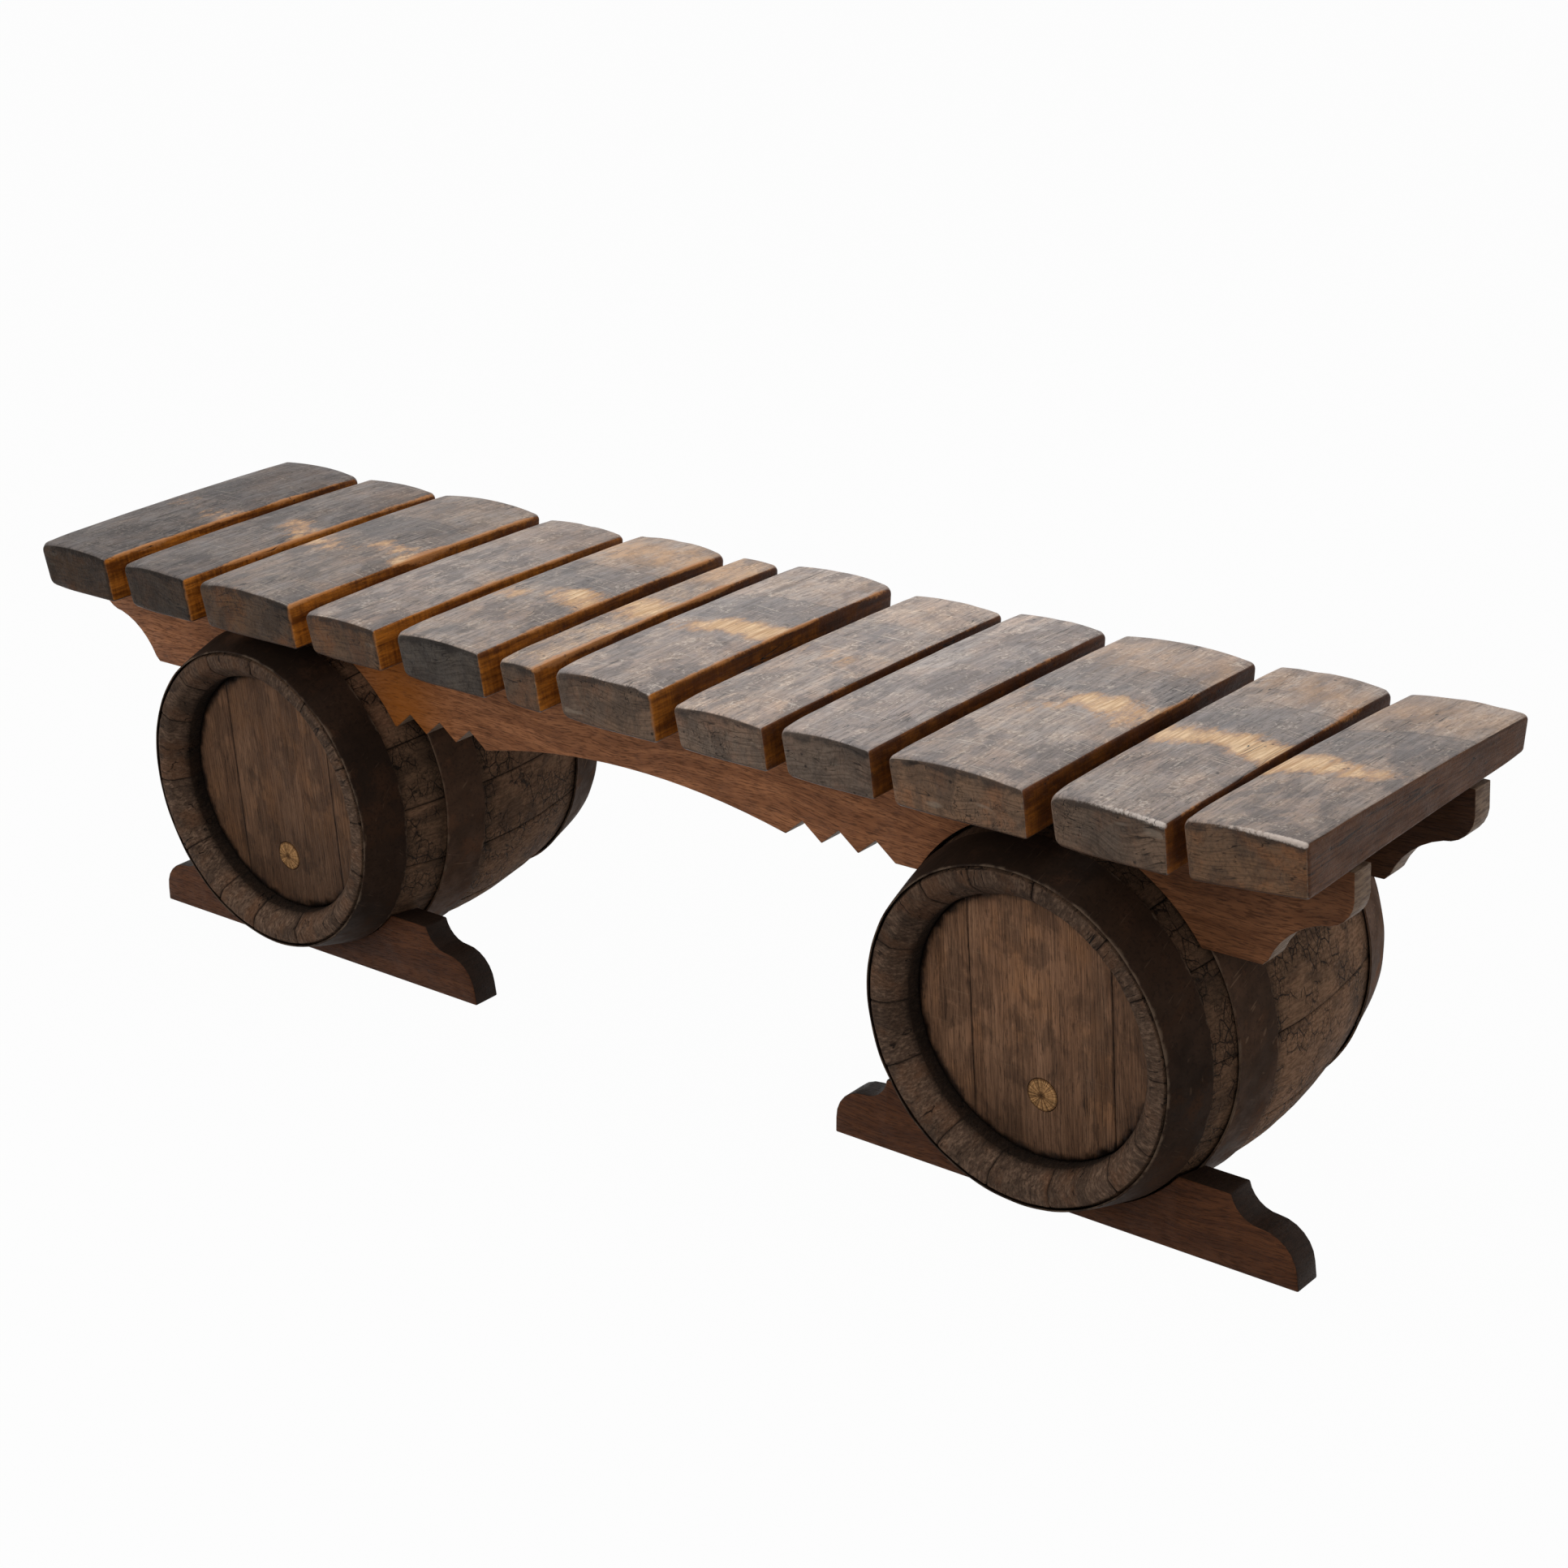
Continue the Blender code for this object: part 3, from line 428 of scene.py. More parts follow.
def plank_side(tree, grain, oak, age, tones):
    """Colour of a plank's side: amber varnish with faint saw marks, or bare wood on an outer side."""
    saw = cloud(tree, grain, (260, 34, 24), detail=3, roughness=0.6)
    streaks = cloud(tree, grain, (9, 60, 130), detail=4, roughness=0.6)
    bright = eased(tree, summed(tree, times(tree, streaks, 0.70), (saw, 0.30)), 0.38, 0.62)
    amber = mixed(tree, bright, shade(122, 66, 18), shade(206, 126, 44))
    russet = mixed(tree, oak["Figure"], shade(60, 33, 19), shade(98, 56, 31))
    # tones[0] holds the amber share, which carries painted light as well as the varnish's colour
    how_amber = eased(tree, summed(tree, tones[0], (age["Mottle"], 0.35)), 0.2, 1.2)
    varnished = layered(tree, mixed(tree, how_amber, russet, amber), (oak["Fibre"], 0.45, (42, 22, 11)))
    outer = mixed(tree, age["Patches"], shade(100, 65, 42), shade(79, 51, 34))
    split_cloud = cloud(tree, grain, (2.2, 8, 62), detail=3, roughness=0.45)
    seldom = eased(tree, cloud(tree, grain, (5, 8, 16), detail=1), 0.46, 0.56, 0.0, 0.9)
    outer = layered(
        tree, outer,
        (oak["Fibre"], 0.55, (50, 32, 21)),
        (oak["Pores"], 0.55, (36, 24, 18)),
        (thin_lines(tree, split_cloud, 0.012), seldom, (20, 14, 10)),
    )
    return mixed(tree, tones[1], varnished, outer)


def plank_end(tree, grain, age, edges, tones, level):
    """Colour of a plank's end grain, with faint rings, thin checks, and dirt under its upper edge."""
    swell = times(tree, cloud(tree, grain, (0, 9, 9), detail=1), 0.05)
    lift = add(tree, "ShaderNodeCombineXYZ", {2: swell}).outputs[0]
    bent = moved(tree, grain, lift)
    rings = cloud(tree, bent, (0, 20, 480), detail=3, roughness=0.65)
    check_cloud = cloud(tree, bent, (0, 12, 90), detail=2, roughness=0.6)
    seldom = eased(tree, cloud(tree, grain, (0, 22, 40), detail=2), 0.47, 0.60)
    checks = times(tree, thin_lines(tree, check_cloud, 0.015), seldom)
    brown = mixed(tree, age["Patches"], shade(162, 122, 90), shade(132, 105, 84))
    brown = layered(tree, brown, (age["Tints"], 0.55, (182, 114, 64)))
    grey = mixed(tree, age["Mottle"], shade(114, 108, 102), shade(140, 130, 120))
    end = mixed(tree, tones[2], brown, grey)
    end = layered(
        tree, end,
        (age["Clouds"], 0.44, (74, 64, 58), 0.60, 0.0),
        (rings, 0.46, (62, 49, 40), 0.44, 0.64),
        (age["Grit"], 0.36, (46, 36, 30), 0.50, 1.0),
    )
    dirt = summed(tree, edges[1], (age["Mottle"], 0.6))
    end = layered(
        tree, end,
        (dirt, 0.75, (56, 50, 47), 0.65, 1.25),
        (age["Scratches"], 0.40, (180, 164, 146)),
        (checks, 0.85, (30, 22, 17)),
    )
    # painted light: the end's colour is scaled by its plank's level of painted light and tone
    return scaled(tree, end, level)


def make_plank_finish():
    """Weathered and varnished cask oak: grey-brown top with rubbed bands, amber sides, brown ends."""
    material, tree, shader, grain = new_finish("seat_oak", 0.08)
    shader.inputs["Coat Roughness"].default_value = 0.42
    edges, bands, tones, marks, light_tone_and_coat = [
        apart(tree, carried(tree, name)) for name in ("edges", "bands", "tones", "marks", "light_tone_and_coat")
    ]
    oak = use(tree, OAK_FIGURE, Grain=grain)
    age = use(tree, WEATHERING, Place=grain)
    across_x, across_y, _, up = facing(tree)
    strokes = eased(tree, cloud(tree, grain, (30, 62, 62), detail=5, roughness=0.68), 0.34, 0.66)
    ragged = summed(tree, times(tree, strokes, 0.85), (oak["Fibre"], 0.30), (age["Grit"], 0.25))
    gap = carried(tree, "band_gap", "Fac")
    colour, rubbed = plank_top(tree, oak, age, bands, gap, marks, light_tone_and_coat[0], ragged)
    is_side = eased(tree, across_x, 0.55, 0.80)
    is_end = eased(tree, across_y, 0.60, 0.85)
    colour = mixed(tree, is_side, colour, plank_side(tree, grain, oak, age, tones))
    colour = mixed(tree, is_end, colour, plank_end(tree, grain, age, edges, tones, light_tone_and_coat[1]))
    colour = layered(tree, colour, (up, 1.0, (70, 48, 34), -0.3, -0.6))

    worn = summed(tree, edges[0], (age["Patches"], 0.55), (age["Grit"], 0.25))
    colour = layered(tree, colour, (worn, 0.80, (188, 128, 76), 0.90, 1.35))
    corner = summed(tree, edges[2], (age["Mottle"], 0.5))
    colour = layered(tree, colour, (corner, 0.7, (172, 112, 62), 0.85, 1.30))
    # painted highlight along the front rims, broken up and mixed with pale chipped fibres
    crumbs = summed(tree, summed(tree, 0.42, (age["Grit"], 0.45)), (age["Mottle"], 0.45))
    crumbs = times(tree, marks[0], crumbs)
    crumbs = eased(tree, crumbs, 0.50, 1.15, 0.0, 0.75)
    rim_highlight = times(tree, marks[0], summed(tree, 0.70, (oak["Fibre"], 0.35)))
    chips_and_highlight = reckon(tree, "MAXIMUM", crumbs, eased(tree, rim_highlight, 0.60, 0.95))
    colour = mixed(tree, chips_and_highlight, colour, mixed(tree, marks[2], shade(206, 201, 196), shade(192, 134, 80)))
    colour = layered(
        tree, colour,
        (oak["Cracks"], 1.0, (30, 23, 19)),
        (age["Pits"], 0.8, (36, 29, 25)),
    )

    roughness = summed(
        tree, 0.40,
        (age["Mottle"], 0.16), (oak["Fibre"], 0.10), (rubbed, 0.12), (chips_and_highlight, -0.20),
    )
    height = summed(
        tree, oak["Height"],
        (age["Mottle"], 0.4), (age["Grit"], 0.3), (age["Scratches"], -0.3), (age["Pits"], -0.8),
    )
    finish_with(tree, shader, colour, roughness, height, 0.7, 0.0014)
    sheen = times(tree, light_tone_and_coat[2], summed(tree, 0.85, (age["Clouds"], 0.3)))
    sheen = times(tree, sheen, reckon(tree, "SUBTRACT", 1.0, is_end))
    sheen = times(tree, sheen, summed(tree, 1.0, (is_side, -0.8)))
    tree.links.new(sheen, shader.inputs["Coat Weight"])
    return material


def make_board_finish(slot, shine, pale, mid, dark, end_pale, end_dark):
    """Planed and oiled oak of a rail or foot, with dense dark flecks along a wavy grain on its faces."""
    material, tree, shader, grain = new_finish(slot, shine)
    oak = use(tree, OAK_FIGURE, Grain=grain)
    age = use(tree, WEATHERING, Place=grain)
    across_y = facing(tree)[1]
    sway = cloud(tree, grain, (3, 7, 7), detail=2)
    lift = add(tree, "ShaderNodeCombineXYZ", {1: summed(tree, -0.035, (sway, 0.07))}).outputs[0]
    swayed = moved(tree, grain, lift)
    fleck_cloud = cloud(tree, swayed, (62, 640, 640), detail=3, roughness=0.6)
    flecks = eased(tree, fleck_cloud, 0.48, 0.62)
    streaks = eased(tree, cloud(tree, swayed, (8, 130, 130), detail=3), 0.36, 0.64)
    colour = mixed(tree, streaks, mid, pale)
    colour = mixed(tree, times(tree, age["Patches"], 0.25), colour, dark)
    colour = mixed(tree, times(tree, flecks, 0.60), colour, dark)
    # painted light: an amber pool on the front rail, and painted shade on the rails' right ends and the rear
    # rail's inner face
    light_and_shade = apart(tree, carried(tree, "light_and_shade"))
    colour = layered(tree, colour, (light_and_shade[0], 0.8, (146, 82, 22)))
    colour = scaled(tree, colour, light_and_shade[1])
    colour = layered(
        tree, colour,
        (oak["Pores"], 0.4, (40, 25, 17)),
        (oak["Cracks"], 0.5, (28, 17, 11)),
    )
    rings = cloud(tree, grain, (300, 300, 60), detail=4, roughness=0.7)
    end_colour = mixed(tree, eased(tree, rings, 0.36, 0.62), end_dark, end_pale)
    end_colour = mixed(tree, times(tree, age["Patches"], 0.4), end_colour, end_dark)
    colour = mixed(tree, eased(tree, across_y, 0.75, 0.45), colour, end_colour)
    roughness = summed(tree, 0.46, (flecks, 0.14), (age["Mottle"], 0.10))
    height = summed(tree, oak["Height"], (flecks, -0.4))
    finish_with(tree, shader, colour, roughness, height, 0.45, 0.0010)
    return material


def make_stave_finish():
    """Dark, crazed keg wood, with rough and checked end grain on the chimes."""
    material, tree, shader, grain = new_finish("keg_stave_oak", 0.08)
    grime_and_shade = apart(tree, carried(tree, "grime_and_shade"))
    oak = use(tree, OAK_FIGURE, Grain=grain)
    age = use(tree, WEATHERING, Place=grain)
    craze = use(tree, CRAZING, Grain=grain)
    ends = use(tree, END_CHECKS, Grain=grain)

    skin = mixed(tree, age["Patches"], shade(158, 118, 90), shade(124, 93, 71))
    skin = layered(
        tree, skin,
        (craze["Lumps"], 0.62, (42, 31, 24)),
        (oak["Fibre"], 0.42, (158, 124, 96)),
        (age["Clouds"], 0.45, (40, 29, 23), 0.5, 0.0),
        (craze["Cracks"], 0.90, (16, 11, 9)),
    )

    chime = mixed(tree, ends["Rough"], shade(88, 68, 55), shade(132, 106, 87))
    chime = layered(
        tree, chime,
        (age["Clouds"], 0.48, (48, 37, 30), 0.62, 0.0),
        (age["Tints"], 0.40, (132, 90, 62)),
        (age["Grit"], 0.35, (28, 20, 16), 0.55, 1.0),
        (ends["Checks"], 1.0, (12, 9, 7)),
    )

    colour = mixed(tree, grime_and_shade[2], skin, chime)
    # grime in the joint grooves, then painted shade
    colour = layered(
        tree, colour,
        (grime_and_shade[0], 0.85, (14, 10, 8)),
        (grime_and_shade[1], 0.95, (12, 9, 7)),
    )
    roughness = summed(tree, 0.60, (craze["Lumps"], 0.2))
    end_height = summed(tree, times(tree, ends["Rough"], 0.6), (ends["Checks"], -1.0))
    heights = {0: grime_and_shade[2], 2: craze["Height"], 3: end_height}
    height = add(tree, "ShaderNodeMix", heights, data_type="FLOAT").outputs[0]
    height = summed(tree, height, (oak["Fibre"], 0.15))
    finish_with(tree, shader, colour, roughness, height, 0.9, 0.0018)
    return material


def make_head_finish():
    """Brown keg head boards with fine upright grain, darker at their joints; soot and painted shade of the
    recess darken them towards the rim, and painted light sets each keg's brightness.
    """
    material, tree, shader, grain = new_finish("keg_head_oak", 0.10)
    stains_and_shade = apart(tree, carried(tree, "stains_and_shade"))
    oak = use(tree, OAK_FIGURE, Grain=grain)
    age = use(tree, WEATHERING, Place=grain)
    fine = eased(tree, cloud(tree, grain, (20, 760, 760), detail=3, roughness=0.65), 0.44, 0.64)
    colour = mixed(tree, oak["Figure"], shade(152, 111, 83), shade(176, 132, 101))
    colour = layered(
        tree, colour,
        (age["Tints"], 0.45, (188, 132, 88)),
        (age["Clouds"], 0.48, (68, 50, 39), 0.60, 0.0),
        (age["Patches"], 0.40, (96, 70, 53)),
        (oak["Fibre"], 0.28, (70, 48, 34)),
        (fine, 0.52, (42, 29, 21)),
        (oak["Pores"], 0.45, (34, 23, 16)),
        (age["Scratches"], 0.25, (160, 128, 100)),
    )
    # painted light on each keg's head, which is also darker towards the bottom
    colour = scaled(tree, colour, stains_and_shade[2])
    colour = layered(tree, colour, (oak["Cracks"], 0.8, (24, 16, 11)))
    joint = times(tree, stains_and_shade[1], summed(tree, 0.45, (age["Mottle"], 0.5)))
    colour = layered(tree, colour, (joint, 1.0, (16, 11, 8)))
    # soot and painted shade of the recess, towards the rim
    rim_soot_and_shade = summed(tree, stains_and_shade[0], (age["Mottle"], 0.45))
    colour = layered(tree, colour, (rim_soot_and_shade, 0.95, (18, 12, 9), 0.45, 1.2))
    roughness = summed(tree, 0.48, (oak["Fibre"], 0.2))
    height = summed(tree, oak["Height"], (age["Mottle"], 0.3), (fine, -0.4))
    finish_with(tree, shader, colour, roughness, height, 0.6, 0.0010)
    return material


def make_hoop_finish():
    """Hoop steel under old brown lacquer, with grime and rust, and slightly rubbed rims."""
    material, tree, shader, grain = new_finish("hoop_steel", 0.05)
    wear = apart(tree, carried(tree, "wear"))
    age = use(tree, WEATHERING, Place=grain)
    rust = cloud(tree, grain, 24.0, detail=6, roughness=0.7)
    colour = mixed(tree, age["Patches"], shade(54, 38, 28), shade(38, 27, 20))
    colour = layered(
        tree, colour,
        (rust, 0.65, (90, 60, 42), 0.50, 0.72),
        (age["Mottle"], 0.45, (30, 22, 17)),
        (age["Grit"], 0.45, (24, 17, 14), 0.60, 1.0),
        (age["Scratches"], 0.20, (112, 90, 72)),
    )
    # wear[1] scales the colour by the hoop's brightness, which is partly lighter rust and partly painted light
    colour = scaled(tree, colour, wear[1])
    rubbed = eased(tree, summed(tree, wear[0], (age["Mottle"], 0.6)), 0.95, 1.45)
    colour = layered(tree, colour, (rubbed, 0.50, (116, 98, 82)))
    roughness = summed(tree, 0.58, (age["Mottle"], 0.18))
    height = summed(tree, times(tree, age["Scratches"], -0.2), (rust, 0.6))
    finish_with(tree, shader, colour, roughness, height, 0.4, 0.0010)
    tree.links.new(times(tree, rubbed, 0.5), shader.inputs["Metallic"])
    return material


def make_plug_finish():
    """Pale plug wood, with rings and dry cracks that run out from its heart."""
    material, tree, shader, grain = new_finish("plug_wood", 0.12)
    parts = apart(tree, grain)
    reach = reckon(tree, "SQRT", summed(tree, times(tree, parts[2], parts[2]), (parts[1], parts[1])))
    turn = reckon(tree, "ARCTAN2", parts[2], parts[1])
    spokes = {0: reckon(tree, "COSINE", turn), 1: reckon(tree, "SINE", turn), 2: 0.0}
    spokes = add(tree, "ShaderNodeCombineXYZ", spokes).outputs[0]
    spoke_cloud = cloud(tree, spokes, 4.5, detail=3, roughness=0.6)
    cracks = thin_lines(tree, spoke_cloud, 0.05)
    ring_cloud = cloud(tree, add(tree, "ShaderNodeCombineXYZ", {0: reach}).outputs[0], 420.0, detail=2)
    speckle = cloud(tree, grain, 420.0, detail=4, roughness=0.7)
    colour = mixed(tree, eased(tree, ring_cloud, 0.35, 0.65), shade(204, 156, 104), shade(168, 122, 78))
    heart = eased(tree, reach, 0.0, 0.007, 0.9, 0.0)
    colour = layered(
        tree, colour,
        (speckle, 0.6, (92, 60, 34), 0.5, 0.7),
        (cracks, 0.80, (48, 29, 15)),
        (heart, 1.0, (58, 34, 17)),
        (reach, 0.7, (84, 54, 28), 0.0150, 0.0180),
    )
    height = summed(tree, speckle, (cracks, -1.0))
    finish_with(tree, shader, colour, eased(tree, speckle, 0.2, 0.8, 0.60, 0.85), height, 0.7, 0.0008)
    return material


# Mesh helpers

def whole(bm):
    """All geometry of a bmesh."""
    return bm.verts[:] + bm.edges[:] + bm.faces[:]


def add_piece(node, bm, material, sharp=35.0):
    """A finished piece that stands for one solid of the part and rides with it."""
    bmesh.ops.recalc_face_normals(bm, faces=bm.faces)
    mesh = bpy.data.meshes.new(f"{node}_look")
    bm.to_mesh(mesh)
    bm.free()
    mesh.shade_smooth()
    mesh.set_sharp_from_angle(angle=math.radians(sharp))
    mesh.materials.append(material)
    piece = bpy.data.objects.new(f"{node}_look", mesh)
    bpy.context.scene.collection.objects.link(piece)
    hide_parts(node)
    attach(piece, "root")
    return piece


def new_layers(bm, *names):
    """Vector attributes of a mesh's points."""
    return [bm.verts.layers.float_vector.new(name) for name in names]


def slice_up(bm, axis, places):
    """Cut a mesh at places along an axis."""
    for place in places:
        bmesh.ops.bisect_plane(bm, geom=whole(bm), plane_co=axis * place, plane_no=axis)


def even_places(low, high, count):
    """Places that share a length into equal parts."""
    return [low + (high - low) * step / count for step in range(1, count)]


def merged_copy(node):
    """A node's mesh as one closed bmesh with its flat faces whole."""
    bm = bmesh.new()
    bm.from_mesh(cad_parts[node].data)
    bmesh.ops.remove_doubles(bm, verts=bm.verts, dist=0.00002)
    bmesh.ops.dissolve_limit(bm, angle_limit=math.radians(1.0), verts=bm.verts, edges=bm.edges)
    return bm


def sharp_edges(bm, angle):
    """The edges of a mesh that turn by more than an angle in degrees."""
    limit = math.radians(angle)
    return [edge for edge in bm.edges if len(edge.link_faces) == 2 and edge.calc_face_angle() > limit]


def round_edges(bm, edges, width, segments):
    """Round some edges, and return the faces that the rounding makes."""
    return bmesh.ops.bevel(
        bm, geom=edges, offset=width, offset_type="OFFSET", segments=segments, profile=0.5,
        affect="EDGES", clamp_overlap=True, material=-1,
    )["faces"]


# Seat planks

def nearness(distance, reach):
    """1 at no distance, falling off over a reach."""
    return math.exp(-(max(distance, 0.0) / reach) ** 2)


def plank_cuts(size):
    """Places of cuts along one side of a plank, closer together near its edges."""
    half = size / 2
    inner = half - EDGE_CUTS[-1]
    even = even_places(-inner, inner, max(2, round(2 * inner / PLANK_CELL)))
    return [gap - half for gap in EDGE_CUTS] + even + [half - gap for gap in EDGE_CUTS]


def rounded_block(width, length, thickness, corner):
    """A block in a fine grid, with rounded edges and rounder corners at its front left and rear right."""
    size = Vector((width, length, thickness))
    bm = bmesh.new()
    bmesh.ops.create_cube(bm, size=1.0, matrix=Matrix.Diagonal((*size, 1.0)))
    for axis in range(3):
        slice_up(bm, Vector((axis == 0, axis == 1, axis == 2)), plank_cuts(size[axis]))
    for vert in bm.verts:
        end = nearness(length / 2 - abs(vert.co.y), 0.02)
        front_left = nearness(math.hypot(vert.co.x + width / 2, vert.co.y + length / 2), 0.028)
        rear_right = nearness(math.hypot(vert.co.x - width / 2, vert.co.y - length / 2), 0.028)
        radius = LONG_EDGE + (END_EDGE - LONG_EDGE) * end + (corner - END_EDGE) * max(front_left, rear_right)
        core = Vector([max(radius - half, min(half - radius, at)) for at, half in zip(vert.co, size / 2)])
        vert.co = core + (vert.co - core).normalized() * radius
    return bm


def add_plank(number, material):
    """One seat plank: an old stave with a crowned top, thinner to the rear, worn and chipped."""
    node = f"seat_plank_{number:02d}"
    low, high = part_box(node)
    last = number == PLANK_COUNT
    row = number - 1
    flare = PLANK_FLARES[row]
    width = high.x - low.x - flare
    length = high.y - low.y
    crown = width ** 2 / (8 * PLANK_CURVE_RADIUS)
    thickness = LAST_PLANK_THICKNESS if last else high.z - low.z - PLANK_BOW - crown
    dip, lean, wane = LAST_PLANK_TWIST if last else (0.0, 0.0, 0.0)
    middle = Vector((low.x + width / 2, (low.y + high.y) / 2, low.z + thickness / 2))
    bm = rounded_block(width, length, thickness, PLANK_CORNERS[row])
    grain, edges, bands = new_layers(bm, "grain", "edges", "bands")
    tones, marks, light_tone_and_coat = new_layers(bm, "tones", "marks", "light_tone_and_coat")
    gap = bm.verts.layers.float.new("band_gap")
    seed = Vector((number * 1.37, number * 0.73, number * 2.11))
    outer_side = {1: -1.0, PLANK_COUNT: 1.0}.get(number, 0.0)
    for vert in bm.verts:
        x, y, z = vert.co
        place = vert.co + seed
        side_gap = width / 2 - abs(x)
        end_gap = length / 2 - abs(y)
        top_gap = thickness / 2 - z
        up = z / thickness + 0.5
        across = 2 * x / width
        along = 2 * y / length
        vert[grain] = Vector((y, x, z)) + seed
        outer = x * outer_side > 0
        rubs = 0.0 if outer else 1.0 if x > 0 else 0.5
        rubs *= 1.0 if number < 8 else 0.6
        spread = 0.0040 + 0.014 * max(0.0, noise.noise(place * 12) - 0.10)
        long_edge = nearness(math.hypot(side_gap, top_gap), spread) * rubs
        corner = nearness(math.hypot(side_gap, end_gap), 0.004) * rubs
        vert[edges] = (long_edge, nearness(top_gap, 0.011), corner)
        wander = 0.024 * noise.noise(Vector((x * 14, y * 5, number * 3.1))) - BAND_LEAN[row] * across
        band_y = y + middle.y + wander
        from_band = band_y - RUB_BAND_Y[row]
        rubbed = nearness(abs(from_band), RUB_BAND_HALF[row]) * PLANK_RUBBED[row]
        rubbed *= 0.80 + (-0.55 if last else 0.25) * across + 0.9 * noise.noise(place * 16)
        stain = PLANK_STAIN[row] * (0.95 + 0.7 * noise.noise(place * 13))
        waver = 0.008 * noise.noise(Vector((x * 11, 4.4, number * 3.1)))
        vert[gap] = y + middle.y + waver - BAND_LEAN[row] * across - RUB_BAND_Y[row]
        pale_back = nearness(abs(band_y - PALE_BACK_Y), PALE_BACK_HALF) * PLANK_PALE_BACK[row]
        vert[bands] = (max(0.0, rubbed), max(0.0, min(1.0, stain)), pale_back)
        # the amber share of a side is partly the varnish's own colour and partly painted light: larger on the
        # left planks, towards the front and towards the bottom
        amber = PLANK_SIDE_AMBER_AND_LIGHT[row] * (1.0 - (0.35 if number < 5 else 0.70) * along) * (1.25 - 0.5 * up)
        vert[tones] = (amber, 1.0 if outer else 0.0, PLANK_GREY_ENDS[row])
        front_rim = nearness(math.hypot(end_gap, top_gap), 0.0056) if y < 0 else 0.0
        chip = max(0.0, noise.noise(place * 34) - 0.12) * nearness(math.hypot(end_gap, top_gap), 0.008)
        chip *= PLANK_CHIPS[row] if y < 0 else 0.25
        # painted highlight on the front rim, together with real chips
        rim_chips_and_highlight = max(front_rim * PLANK_RIM_HIGHLIGHT[row] * (0.8 + 0.4 * across), chip)
        vert[marks] = (rim_chips_and_highlight, PLANK_GREY[row], PLANK_TAN[row])
        # painted light and tone of the top and end, and the share of the coat
        vert[light_tone_and_coat] = (PLANK_TOP_TONE_AND_LIGHT[row] * (1.0 + 0.08 * along), PLANK_END_TONE_AND_LIGHT[row], PLANK_SHEEN[row])
        z += (crown * (1 - across ** 2) - dip * along / 2 + lean * across / 2) * up
        z += PLANK_BOW * (1 - along ** 2)
        z += (PLANK_REAR_RISE * (1 + along) / 2 + wane * (1 + across) / 2) * (1 - up)
        x -= across * PLANK_SIDE_SLOPE * (1 - up)
        x += flare * (1 + along) / 2 * (1 + across) / 2
        y -= along * PLANK_END_SLOPE * (1 - up)
        worn = 0.0005 * nearness(math.hypot(side_gap, top_gap), 0.006) * (1 + noise.noise(place * 30))
        x -= math.copysign(worn, x)
        y -= math.copysign(0.007 * chip, y)
        z -= 0.005 * chip + 0.0004 * (1 + noise.noise(place * 18))
        vert.co = middle + Vector((x, y, z))
    add_piece(node, bm, material, 50.0)


# Rails and feet

def add_board(node, material, rounding, seed):
    """A rail or a foot: its solid with softly worn edges."""
    bm = merged_copy(node)
    low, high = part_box(node)
    round_edges(bm, sharp_edges(bm, 25.0), rounding, 2)
    slice_up(bm, Vector((1, 0, 0)), even_places(low.x, high.x, BOARD_CUTS))
    grain, light_and_shade = new_layers(bm, "grain", "light_and_shade")
    for vert in bm.verts:
        vert[grain] = Vector((vert.co.x, vert.co.z, vert.co.y)) + Vector((seed, seed * 0.7, seed * 0.3))
        # painted pool of amber light on the front rail, and painted shade towards the rails' right ends
        lit_patch = nearness(abs(vert.co.x - RAIL_LIT_PATCH_X), 0.06) if node == "front_rail" else 0.0
        shaded = min(1.0, max(0.0, (vert.co.x - RAIL_SHADED_X) / 0.18)) if node.endswith("rail") else 0.32
        # painted shade on the rear rail's inner face
        if node == "rear_rail":
            shaded = 1.75 if vert.co.y < (low.y + high.y) / 2 else 0.2
        vert[light_and_shade] = (lit_patch, 1.16 - 0.56 * shaded, 0.0)
    add_piece(node, bm, material)


# Kegs

def keg_place(side):
    """Middle of the ring of front stave ends."""
    low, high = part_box(f"{side}_keg_front_chime_hoop")
    return Vector(((low.x + high.x) / 2, low.y - HOOP_EDGE_INSET, (low.z + high.z) / 2))


def keg_radius(side, depth):
    """Outer radius of a keg's wood at a depth from its front."""
    along = abs(2 * depth / KEG_LENGTH - 1)
    fall = (KEG_BILGE_RADIUS - KEG_CHIME_RADIUS) * along ** KEG_CURVE
    return KEG_BILGE_RADIUS + EXTRA_RADIUS[side] - fall


def chime_section(side):
    """Front end of a stave from its outer corner in to behind the groove for the head."""
    chime = KEG_CHIME_RADIUS + EXTRA_RADIUS[side]
    lip = HEAD_LIP_RADIUS + EXTRA_RADIUS[side]
    groove = HEAD_RECESS + (HEAD_THICKNESS - CROZE_WIDTH) / 2
    section = [(chime - 0.0012, 0.0022), (chime - 0.0030, 0.0006)]
    section += [(chime - CHIME_LAND * share, 0.0) for share in (0.3, 0.5, 0.7)]
    bevel_top = chime - CHIME_LAND * 0.9
    for step in range(7):
        share = step / 6
        section.append((bevel_top + (lip - bevel_top) * share, 0.0006 + CHIME_BEVEL_RUN * share ** 1.25))
    section += [
        (lip, CHIME_BEVEL_RUN + 0.003), (lip, groove), (lip + CROZE_DEPTH, groove),
        (lip + CROZE_DEPTH, groove + CROZE_WIDTH), (lip, groove + CROZE_WIDTH),
    ]
    return section


